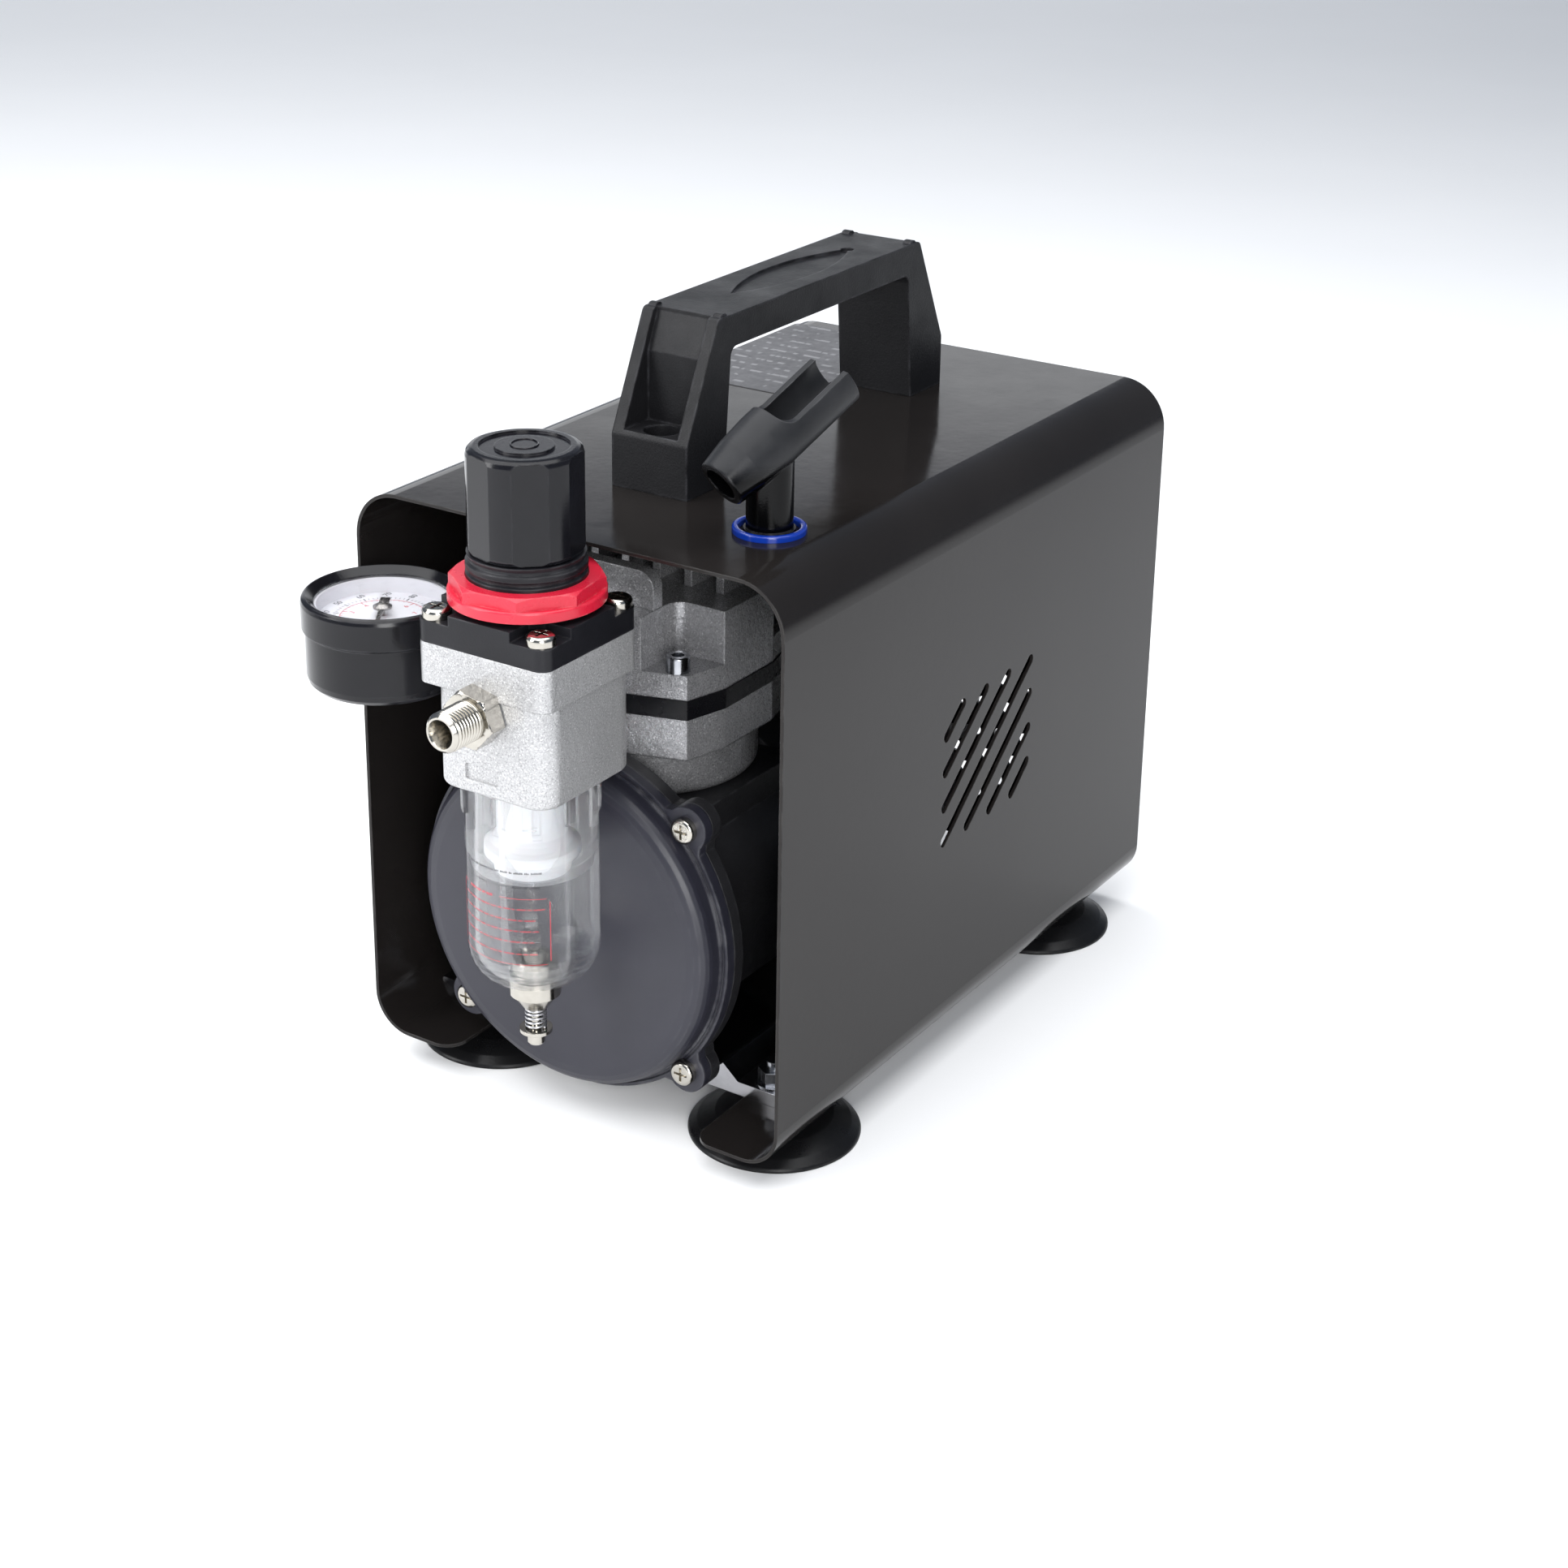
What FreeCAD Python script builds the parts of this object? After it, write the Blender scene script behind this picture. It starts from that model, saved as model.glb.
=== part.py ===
import FreeCAD, Part
import math
import os

# Airbrush air compressor in a sheet-metal housing.
# Millimetres. +Z up, front (regulator side) towards -Y, +X to the right seen from the front.
# Origin: centre of the overall bounding box, on the floor. The parts are drawn about a datum on the
# pump, and DATUM_SHIFT moves them all to that origin.

V = FreeCAD.Vector
X, Y, Z = V(1, 0, 0), V(0, 1, 0), V(0, 0, 1)

# ---- driving dimensions -------------------------------------------------------------------------
DATUM_SHIFT = V(0, 2.0, 0)

CASE_W = 167.2            # housing width
CASE_H = 200.0            # housing height, sheet outside to outside
CASE_FRONT = -98.7        # y of the housing's front edge
CASE_REAR = 157.4         # y of the housing's rear edge
CASE_Z = 10.76            # underside of the housing above the floor
CASE_TOP = CASE_Z + CASE_H
SHEET = 1.2               # sheet thickness
CASE_R_TOP = 17.0
CASE_R_BOTTOM = 14.0
FLANGE_GAP = 50.0         # half distance between the two bottom flanges
FLOOR_Z = CASE_Z + SHEET  # top of the bottom flanges

FOOT_X = 57.7
FOOT_Y = (-60.15, 122.05)
FOOT_R = 29.1
STUD_R = 3.0

HANDLE_Y = 30.6
HANDLE_HALF_W = 14.8
HANDLE_TOP = 267.2

PUMP_X = -6.0             # motor, crankshaft and cylinder plane
PUMP_Z = 71.5             # crankshaft height
CYL_Y = -40.0             # cylinder axis
THROW = 6.0               # crank throw, half the piston stroke
COVER_FACE = -95.0
COVER_SEAT = -86.0        # face the cover screws clamp
CASE_JOINT = -82.0        # cover to crankcase joint
COVER_SCREW_DX = 45.2
COVER_SCREW_DZ = 44.0

REG_X = 2.3               # regulator, knob and bowl axis
REG_Y = -117.95
BODY_Z = (138.0, 185.0)   # regulator casting
BONNET_Z = (185.0, 195.5)
PORT_Z = 166.4            # outlet, inlet and gauge ports
NIPPLE_TIP = -161.4

GAUGE_X = -56.6
GAUGE_TOP = 185.7
GAUGE_R = 26.2

HOLDER_X, HOLDER_Y = 51.5, -58.15
HOLDER_POST_R = 7.5
HOLDER_AXIS_Z = 241.5
HOLDER_TILT = 32.0        # nose down
HOLDER_TURN = 20.0        # nose swung towards -X


# ---- shape helpers ------------------------------------------------------------------------------
def box(x0, x1, y0, y1, z0, z1):
    return Part.makeBox(x1 - x0, y1 - y0, z1 - z0, V(x0, y0, z0))


def cyl(r, base, axis, length):
    return Part.makeCylinder(r, length, V(*base), axis)


def tube(r_out, r_in, base, axis, length):
    return cyl(r_out, base, axis, length).cut(cyl(r_in, base, axis, length))


def prism(points, vector):
    """Extrude a closed polygon of 3-D points along a vector."""
    loop = [V(*p) for p in points]
    loop.append(loop[0])
    return Part.Face(Part.makePolygon(loop)).extrude(vector)


def fuse(shapes):
    return shapes[0].multiFuse(shapes[1:]).removeSplitter()


def turned(profile, x, y):
    """Revolve (radius, z) points about the vertical line through x, y."""
    loop = [V(x + r, y, z) for r, z in profile]
    loop.append(loop[0])
    return Part.Face(Part.makePolygon(loop)).revolve(V(x, y, 0), Z, 360)


def turned_y(profile, x, z):
    """Revolve (radius, y) points about the line along Y through x, z."""
    loop = [V(x + r, y, z) for r, y in profile]
    loop.append(loop[0])
    return Part.Face(Part.makePolygon(loop)).revolve(V(x, 0, z), Y, 360)


def hexagon(across_flats, base, axis, length, sides=6):
    """Regular prism about an axis, flats facing the local X and Y axes."""
    r = across_flats / 2 / math.cos(math.pi / sides)
    turn = math.pi / sides
    angles = [turn + 2 * math.pi * i / sides for i in range(sides)]
    corners = [V(r * math.cos(a), r * math.sin(a), 0) for a in angles]
    corners.append(corners[0])
    solid = Part.Face(Part.makePolygon(corners)).extrude(V(0, 0, length))
    solid.Placement = FreeCAD.Placement(V(*base), FreeCAD.Rotation(Z, axis))
    return solid


def edges_along(shape, axis, test=lambda c: True):
    """Straight edges parallel to an axis whose centre passes the test."""
    found = []
    for e in shape.Edges:
        if e.Curve.TypeId == "Part::GeomLine" and abs(e.Curve.Direction.dot(axis)) > 0.9999:
            if test(e.CenterOfMass):
                found.append(e)
    return found


def rounded_block(x0, x1, y0, y1, z0, z1, r, axis=Z):
    block = box(x0, x1, y0, y1, z0, z1)
    return block.makeFillet(r, edges_along(block, axis))


def cross_recess(z, size, depth):
    """Cruciform driver recess on the Z axis, its open face at z."""
    arm = 0.9
    bars = [Part.makeBox(size, arm, depth, V(-size / 2, -arm / 2, z - depth)),
            Part.makeBox(arm, size, depth, V(-arm / 2, -size / 2, z - depth))]
    return bars[0].fuse(bars[1])


def pan_head_screw(r_head, height, r_shank, length):
    """Pan-head cross-recess screw on the Z axis, underside of the head at z = 0."""
    head = cyl(r_head, (0, 0, 0), Z, height)
    rim = [e for e in head.Edges if e.CenterOfMass.z > height - 0.01 and len(e.Vertexes) == 1]
    head = head.makeFillet(height * 0.45, rim)
    head = head.cut(cross_recess(height, r_head * 1.15, height * 0.55))
    return head.fuse(cyl(r_shank, (0, 0, -length), Z, length))


def placed(shape, point, axis):
    copy = shape.copy()
    copy.Placement = FreeCAD.Placement(V(*point), FreeCAD.Rotation(Z, axis))
    return copy


# ---- housing ------------------------------------------------------------------------------------
def case_outline(inset, y0, y1):
    """Solid of the housing's rounded outline, inset all round."""
    half = CASE_W / 2 - inset
    block = box(-half, half, y0, y1, CASE_Z + inset, CASE_TOP - inset)
    block = block.makeFillet(CASE_R_TOP - inset, edges_along(block, Y, lambda c: c.z > 100))
    return block.makeFillet(CASE_R_BOTTOM - inset, edges_along(block, Y, lambda c: c.z < 100))


VENT_Y, VENT_Z = 31.3, 111.6      # centre of each side's vent field
VENT_HALF_Y, VENT_HALF_Z = 28.9, 23.6
VENT_ANGLE = 39.5
VENT_STEP = 13.0                  # vertical distance between neighbouring slots
VENT_SLOT = 3.9


def vent_slots():
    """Seven slanted slots through both side walls, clipped to one rectangle."""
    slope = math.tan(math.radians(VENT_ANGLE))
    slots = []
    for k in range(-3, 4):
        lift = k * VENT_STEP
        lo = max(-VENT_HALF_Y, (-VENT_HALF_Z - lift) / slope)
        hi = min(VENT_HALF_Y, (VENT_HALF_Z - lift) / slope)
        a = V(-CASE_W, VENT_Y + lo, VENT_Z + lo * slope + lift)
        b = V(-CASE_W, VENT_Y + hi, VENT_Z + hi * slope + lift)
        run = (b - a).normalize()
        side = X.cross(run) * (VENT_SLOT / 2)
        body = prism([a + side, b + side, b - side, a - side], V(2 * CASE_W, 0, 0))
        ends = [cyl(VENT_SLOT / 2, p, X, 2 * CASE_W) for p in (a, b)]
        slots.append(body.fuse(ends[0]).fuse(ends[1]))
    return slots


HANDLE_BOLT_Y = (HANDLE_Y - 73.5, HANDLE_Y + 73.5)
HANDLE_BOLT_R = 3.0
POCKET_FLOOR = CASE_TOP + 19.5
BOLT_SEAT = CASE_TOP + 8.0    # counterbore floor under each pocket


def flange_corner(x, y, sx, sy):
    """Sliver that rounds one free corner of a bottom flange."""
    r = 8.0
    x0, x1 = sorted((x, x + sx * r))
    y0, y1 = sorted((y, y + sy * r))
    block = box(x0, x1, y0, y1, 0, FLOOR_Z + 1)
    return block.cut(cyl(r, (x + sx * r, y + sy * r, -1), Z, FLOOR_Z + 3))


def housing_shell():
    shell = case_outline(0, CASE_FRONT, CASE_REAR).cut(case_outline(SHEET, CASE_FRONT - 1, CASE_REAR + 1))
    cutters = [box(-FLANGE_GAP, FLANGE_GAP, CASE_FRONT - 1, CASE_REAR + 1, 0, FLOOR_Z + 1)]
    cutters += vent_slots()
    cutters += [flange_corner(sx * FLANGE_GAP, y, sx, sy)
                for sx in (-1, 1) for y, sy in ((CASE_FRONT, 1), (CASE_REAR, -1))]
    cutters += [cyl(STUD_R + 0.2, (sx * FOOT_X, y, 0), Z, 20) for sx in (-1, 1) for y in FOOT_Y]
    cutters += [cyl(HANDLE_BOLT_R + 0.2, (0, y, CASE_TOP - 5), Z, 10) for y in HANDLE_BOLT_Y]
    cutters.append(cyl(HOLDER_POST_R + 0.08, (HOLDER_X, HOLDER_Y, CASE_TOP - 5), Z, 10))
    return shell.cut(cutters)


PANEL_Y = (149.5, 151.0)
SWITCH_X, SWITCH_Z = 42.0, 168.0
SWITCH_HALF = (7.0, 11.0)
GLAND_X, GLAND_Z = -52.0, 34.0


def rear_panel():
    """Ventilated rear wall inside the tunnel, with switch and cable openings."""
    y0, y1 = PANEL_Y
    panel = case_outline(SHEET, y0, y1).cut(box(-100, 100, y0 - 1, y1 + 1, 0, FLOOR_Z))
    cutters = [box(SWITCH_X - SWITCH_HALF[0], SWITCH_X + SWITCH_HALF[0], y0 - 1, y1 + 1,
                   SWITCH_Z - SWITCH_HALF[1], SWITCH_Z + SWITCH_HALF[1])]
    cutters.append(cyl(6.0, (GLAND_X, y0 - 1, GLAND_Z), Y, 4))
    for ring, count in ((14.0, 6), (24.0, 12), (34.0, 18), (44.0, 24)):
        for i in range(count):
            a = 2 * math.pi * i / count
            spot = (PUMP_X + ring * math.cos(a), y0 - 1, PUMP_Z + ring * math.sin(a))
            cutters.append(cyl(2.6, spot, Y, 4))
    return panel.cut(cutters)


# ---- handle -------------------------------------------------------------------------------------
def carry_handle():
    """Moulded bridge handle with an open bolt pocket in each sloped end."""
    base, knee, top = 81.0, 63.2, HANDLE_TOP
    outer = [(-base, CASE_TOP), (-base, CASE_TOP + 18), (-knee, top), (knee, top),
             (base, CASE_TOP + 18), (base, CASE_TOP)]
    w = HANDLE_HALF_W
    body = prism([(-w, HANDLE_Y + y, z) for y, z in outer], V(2 * w, 0, 0))
    body = body.makeFillet(2.5, edges_along(body, X, lambda c: c.z > CASE_TOP + 10))
    window = [(-60, CASE_TOP - 1), (-56.0, 256.3), (56.0, 256.3), (60, CASE_TOP - 1)]
    hole = prism([(-w - 1, HANDLE_Y + y, z) for y, z in window], V(2 * w + 2, 0, 0))
    hole = hole.makeFillet(3.5, edges_along(hole, X, lambda c: c.z > 250))
    body = body.cut(hole)
    horns = []
    for sy in (-1, 1):
        body = body.cut(handle_pocket(sy))
        body = body.cut(cyl(HANDLE_BOLT_R + 0.2, (0, HANDLE_Y + sy * 73.5, CASE_TOP - 1), Z, 30))
        body = body.cut(cyl(6.2, (0, HANDLE_Y + sy * 73.5, BOLT_SEAT), Z, 30))
        for sx in (-1, 1):
            x0, x1 = sorted((sx * 11.2, sx * (w - 0.6)))
            y0, y1 = sorted((HANDLE_Y + sy * 57.5, HANDLE_Y + sy * 61.5))
            horns.append(rounded_block(x0, x1, y0, y1, top - 4, top + 0.9, 1.6, X))
    body = fuse([body] + horns)
    return body.cut(grip_recess())


def handle_pocket(sy):
    """Deep bolt pocket plus the shallow recess of the lip above it."""
    rail = 10.6
    deep = [(66.5, POCKET_FLOOR), (90, POCKET_FLOOR), (90, 255.5), (66.5, 255.5)]
    lip = [(90, 240), (90, 275), (61.2, 275), (61.2, 266.0), (72.5, 240)]
    cuts = []
    for points in (deep, lip):
        cuts.append(prism([(-rail, HANDLE_Y + sy * y, z) for y, z in points], V(2 * rail, 0, 0)))
    return cuts[0].fuse(cuts[1])


def grip_recess():
    """Shallow lens-shaped recess in the top of the grip, with a dimple at its rear end."""
    half_length, half_width, depth = 37.0, 8.6, 0.9
    centre = V(0, HANDLE_Y + 2.5, HANDLE_TOP - depth)
    r = (half_length ** 2 + half_width ** 2) / (2 * half_width)
    discs = [Part.makeCylinder(r, depth + 5, centre + V(s * (r - half_width), 0, 0), Z) for s in (-1, 1)]
    dimple = cyl(2.3, (0, HANDLE_Y + 2.5 + half_length - 1, HANDLE_TOP - 1.4), Z, 5)
    return discs[0].common(discs[1]).fuse(dimple)


def handle_bolts():
    """Two cap screws from the pockets into nuts under the housing top."""
    bolts = []
    for y in HANDLE_BOLT_Y:
        head = cyl(5.0, (0, y, BOLT_SEAT), Z, 5.5).cut(hexagon(5.0, (0, y, BOLT_SEAT + 3.0), Z, 4))
        shank = cyl(HANDLE_BOLT_R, (0, y, CASE_TOP - 9), Z, BOLT_SEAT - CASE_TOP + 9)
        nut = hexagon(10.0, (0, y, CASE_TOP - SHEET - 5), Z, 5)
        bolts.append(fuse([head, shank, nut]))
    return Part.makeCompound(bolts)


def rating_label():
    """Thin blank plate on the housing top."""
    return rounded_block(-71.5, -18.0, 66.0, 150.0, CASE_TOP, CASE_TOP + 0.25, 2.0)


# ---- airbrush holder ----------------------------------------------------------------------------
def holder_collar():
    ring = tube(11.8, 9.7, (HOLDER_X, HOLDER_Y, CASE_TOP), Z, 2.1)
    rim = [e for e in ring.Edges if e.CenterOfMass.z > CASE_TOP + 2]
    return ring.makeFillet(0.7, rim)


def holder_frame():
    """Placement of the cradle: local +X is the nose, local +Z is up out of the trough."""
    tilt = FreeCAD.Rotation(Y, HOLDER_TILT)
    turn = FreeCAD.Rotation(Z, -90.0 - HOLDER_TURN)
    return FreeCAD.Placement(V(HOLDER_X, HOLDER_Y, HOLDER_AXIS_Z), turn.multiply(tilt))


def airbrush_holder():
    """Swivelling post with a tilted tube cradle, its rear half cut open as a trough."""
    rear, shoulder, nose = -29.0, 3.0, 22.3
    r_out, r_nose, r_in, r_mouth = 10.3, 8.3, 8.1, 5.8
    axis_x = FreeCAD.Placement(V(0, 0, 0), FreeCAD.Rotation(Z, X))
    outline = [(0, rear), (r_out, rear), (r_out, shoulder), (9.7, shoulder + 10), (r_nose, nose), (0, nose)]
    skin = turned(outline, 0, 0)
    bore = turned([(0, rear - 1), (r_in, rear - 1), (r_in, shoulder + 4), (r_mouth, nose - 5),
                   (r_mouth, nose + 1), (0, nose + 1)], 0, 0)
    mouth_rim = [e for e in skin.Edges if abs(e.CenterOfMass.z - nose) < 0.01 and len(e.Vertexes) == 1]
    skin = skin.makeFillet(0.8, mouth_rim)
    cut_z, bend = 4.2, 5.5
    trough = box(rear - 2, -2 - bend, -20, 20, cut_z, 20)
    ramp = box(-2 - 2 * bend, -2, -20, 20, cut_z + bend, 20)
    round_end = cyl(bend, (-2 - bend, -20, cut_z + bend), Y, 40)
    for part in (skin, bore):
        part.Placement = axis_x
    frame = holder_frame()
    for part in (skin, bore, trough, ramp, round_end):
        part.Placement = frame.multiply(part.Placement)
    post = cyl(HOLDER_POST_R, (HOLDER_X, HOLDER_Y, CASE_TOP - 14), Z, HOLDER_AXIS_Z - CASE_TOP + 10)
    shoulder_ring = cyl(8.3, (HOLDER_X, HOLDER_Y, CASE_TOP + 0.3), Z, 1.2)
    return fuse([post, shoulder_ring, skin]).cut([bore, trough, ramp, round_end])


def holder_nut():
    """Nut that keeps the post in the housing top and turns with it."""
    base = (HOLDER_X, HOLDER_Y, CASE_TOP - SHEET - 0.3)
    return hexagon(20.0, base, -Z, 6.0).cut(cyl(HOLDER_POST_R, base, -Z, 6.0))


# ---- feet and base ------------------------------------------------------------------------------
def suction_foot(sx, y):
    """Rubber suction cup with a hub that carries the stud."""
    r = FOOT_R
    above = [(STUD_R, CASE_Z), (9.5, CASE_Z), (9.5, 8.6), (13.0, 7.9), (20.0, 6.3), (26.0, 3.4),
             (r - 0.4, 1.3), (r, 0.7), (r, 0)]
    below = [(r - 1.6, 0), (r - 4.5, 1.6), (19.0, 3.6), (10.0, 5.0), (STUD_R, 5.2)]
    return turned(above + below, sx * FOOT_X, y)


def foot_stud(sx, y):
    """Threaded stud out of the rubber hub, with a spacer under the base plate and a flange nut on it."""
    x = sx * FOOT_X
    stud = cyl(STUD_R, (x, y, 5.2), Z, 20.5)
    spacer = cyl(5.5, (x, y, FLOOR_Z), Z, BASE_TOP - BASE_SHEET - FLOOR_Z)
    washer = cyl(6.8, (x, y, BASE_TOP), Z, 1.2)
    nut = hexagon(10.0, (x, y, BASE_TOP + 1.2), Z, 4.8)
    return fuse([stud, spacer, washer, nut])


BASE_FRONT, BASE_REAR = -67.0, 129.0
BASE_SHEET = 1.5
BASE_TOP = FLOOR_Z + 4.9      # top of the side flanges
BASE_MID = FLOOR_Z + 0.1      # underside of the sunk middle
BASE_HALF = CASE_W / 2
RIDGE_X, RIDGE_Z = 41.3, 22.1


def base_section(y0, y1, drop):
    """Plate section between two y stations; drop is how far it reaches below its top line."""
    top = [(BASE_HALF, BASE_TOP), (RIDGE_X + 6, BASE_TOP), (RIDGE_X, RIDGE_Z), (32.0, BASE_MID + BASE_SHEET)]
    top += [(-x, z) for x, z in reversed(top)]
    bottom = [(x, max(z - drop, FLOOR_Z)) for x, z in reversed(top)]
    return prism([(x, y0, z) for x, z in top + bottom], V(0, y1 - y0, 0))


def base_plate():
    sheet = base_section(BASE_FRONT, BASE_REAR, BASE_SHEET)
    front_lip = base_section(BASE_FRONT, BASE_FRONT + BASE_SHEET, 30)
    rear_lip = base_section(BASE_REAR - BASE_SHEET, BASE_REAR, 30)
    plate = fuse([sheet, front_lip, rear_lip]).common(case_outline(SHEET, BASE_FRONT - 1, BASE_REAR + 1))
    holes = [cyl(STUD_R + 0.2, (sx * FOOT_X, y, 0), Z, 40) for sx in (-1, 1) for y in FOOT_Y]
    return plate.cut(holes)


PAD_DX = 17.0
PAD_Y = (-58.0, 66.0)
PAD_TOP = 20.5


def vibration_mounts():
    """Four rubber bobbins between the base plate and the pump's feet."""
    z0 = BASE_MID + BASE_SHEET
    mid = (z0 + PAD_TOP) / 2
    profile = [(0, z0), (7.5, z0), (7.5, z0 + 1.8), (6.0, mid), (7.5, PAD_TOP - 1.8), (7.5, PAD_TOP),
               (0, PAD_TOP)]
    return Part.makeCompound([turned(profile, PUMP_X + sx * PAD_DX, y) for sx in (-1, 1) for y in PAD_Y])


# ---- pump ---------------------------------------------------------------------------------------
COVER_R = 61.6
DOME_R = 58.5
CRANK_BODY_R = 50.0
DECK_Z = 113.0            # top of the crankcase, where the cylinder stands
BORE_R = 16.0


def cover_screw_spots():
    return [(PUMP_X + sx * COVER_SCREW_DX, PUMP_Z + sz * COVER_SCREW_DZ) for sz in (1, -1) for sx in (-1, 1)]


def lobed_flange(y0, y1, r):
    """Round flange with four ears for the cover screws."""
    flange = cyl(r, (PUMP_X, y0, PUMP_Z), Y, y1 - y0)
    reach = math.hypot(COVER_SCREW_DX, COVER_SCREW_DZ)
    for x, z in cover_screw_spots():
        ux, uz = (x - PUMP_X) / reach, (z - PUMP_Z) / reach
        inner, wide, ear = 50.0, 19.0, 7.6
        spans = [(inner, -wide), (reach, -ear), (reach, ear), (inner, wide)]
        corners = [(PUMP_X + along * ux + across * uz, y0, PUMP_Z + along * uz - across * ux)
                   for along, across in spans]
        wing = prism(corners, V(0, y1 - y0, 0))
        flange = flange.fuse(wing).fuse(cyl(ear, (x, y0, z), Y, y1 - y0))
    return flange.removeSplitter()


def crankcase_cover():
    """Domed front cover with a bead round the dome."""
    r, face = DOME_R, COVER_FACE
    dome = turned_y([(0, CASE_JOINT), (r, CASE_JOINT), (r, face + 5.0), (r - 0.3, face + 3.6),
                     (r - 1.1, face + 2.3), (r - 2.3, face + 1.2), (r - 4.2, face + 0.4), (r - 7.0, face),
                     (0, face)], PUMP_X, PUMP_Z)
    cover = lobed_flange(COVER_SEAT, CASE_JOINT, COVER_R).fuse(dome)
    groove = tube(r + 1.9, r + 0.8, (PUMP_X, COVER_SEAT - 1, PUMP_Z), Y, 1.8)
    hollow = cyl(53.5, (PUMP_X, face + 4, PUMP_Z), Y, 20)
    holes = [cyl(2.2, (x, COVER_SEAT - 1, z), Y, 8) for x, z in cover_screw_spots()]
    return cover.cut([groove, hollow] + holes)


def cover_screws():
    screw = pan_head_screw(4.4, 3.0, 2.0, 12.0)
    return Part.makeCompound([placed(screw, (x, COVER_SEAT, z), -Y) for x, z in cover_screw_spots()])


CRANKCASE_REAR = -12.0


def crankcase():
    """Cast crankcase: lobed front flange, round body, cylinder deck, feet and motor spigot."""
    front = lobed_flange(CASE_JOINT, CASE_JOINT + 5, COVER_R)
    front = front.cut(box(-100, 100, CASE_JOINT - 1, 0, DECK_Z + 20, 200))
    body = cyl(CRANK_BODY_R, (PUMP_X, CASE_JOINT, PUMP_Z), Y, CRANKCASE_REAR - CASE_JOINT)
    deck = rounded_block(PUMP_X - 39, PUMP_X + 39, CASE_JOINT + 4, CRANKCASE_REAR, PUMP_Z + 12, DECK_Z, 8)
    body = body.fuse(deck).cut(box(-100, 100, CASE_JOINT + 5, 0, DECK_Z, 200))
    feet = []
    for sx in (-1, 1):
        x = PUMP_X + sx * PAD_DX
        feet.append(box(x - 9, x + 9, PAD_Y[0] - 10, PAD_Y[0] + 10, PAD_TOP, 45))
    spigot = cyl(CRANK_BODY_R, (PUMP_X, CRANKCASE_REAR, PUMP_Z), Y, 16)
    shell = fuse([front, body, spigot] + feet)
    cavity = cyl(40.0, (PUMP_X, CASE_JOINT - 1, PUMP_Z), Y, 60)
    windings = cyl(45.0, (PUMP_X, CRANKCASE_REAR - 4, PUMP_Z), Y, 30)
    neck = cyl(22.0, (PUMP_X, CYL_Y, PUMP_Z + 20), Z, 40)
    shaft = cyl(SHAFT_R + 0.05, (PUMP_X, -40, PUMP_Z), Y, 40)
    barrel_seat = cyl(36.0, (PUMP_X, CYL_Y, DECK_Z), Z, 30)
    threads = [cyl(2.05, (x, CASE_JOINT - 1, z), Y, 10) for x, z in cover_screw_spots()]
    return shell.cut([cavity, windings, neck, shaft, barrel_seat] + threads)


FLANGE_Z = (129.8, 144.7)     # cylinder flange
PLATE_TOP = 151.4             # top of the black valve plate
HEAD_FLANGE_TOP = 160.0
HEAD_TOP = 178.3


def head_outline(z0, z1, grow=0.0):
    """Ten-sided flange outline of the cylinder and head."""
    quarter = [(12.0, 36.5), (34.3, 29.7), (38.6, 14.0)]
    pts = [(x, -y) for x, y in quarter] + [(x, y) for x, y in reversed(quarter)]
    pts += [(-x, y) for x, y in quarter] + [(-x, -y) for x, y in reversed(quarter)]
    scale = 1 + grow / 38.6
    return prism([(PUMP_X + x * scale, CYL_Y + y * scale, z0) for x, y in pts], V(0, 0, z1 - z0))


def head_bolt_spots():
    return [(PUMP_X + sx * 29.0, CYL_Y + sy * 27.1) for sx in (-1, 1) for sy in (-1, 1)]


def cylinder():
    """Cylinder barrel with its flange, and the liner that reaches into the crankcase."""
    flange = head_outline(*FLANGE_Z)
    flange = flange.makeFillet(1.2, [e for e in flange.Edges if abs(e.CenterOfMass.z - FLANGE_Z[0]) < 0.01])
    barrel = cyl(35.5, (PUMP_X, CYL_Y, DECK_Z), Z, FLANGE_Z[0] - DECK_Z + 1)
    barrel = barrel.makeFillet(4.0, [e for e in barrel.Edges
                                     if abs(e.CenterOfMass.z - DECK_Z) < 0.01 and len(e.Vertexes) == 1])
    liner = cyl(20.0, (PUMP_X, CYL_Y, 103.5), Z, 20)
    bore = cyl(BORE_R, (PUMP_X, CYL_Y, 100), Z, 60)
    threads = [cyl(2.5, (x, y, FLANGE_Z[1] - 10), Z, 12) for x, y in head_bolt_spots()]
    return fuse([barrel, flange, liner]).cut([bore] + threads)


def valve_plate():
    """Black valve plate with two reed ports."""
    plate = head_outline(FLANGE_Z[1], PLATE_TOP, 0.4)
    ports = [cyl(3.0, (PUMP_X + sx * 8, CYL_Y, FLANGE_Z[1] - 1), Z, 10) for sx in (-1, 1)]
    bolts = [cyl(2.7, (x, y, FLANGE_Z[1] - 1), Z, 10) for x, y in head_bolt_spots()]
    return plate.cut(ports + bolts)


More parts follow.
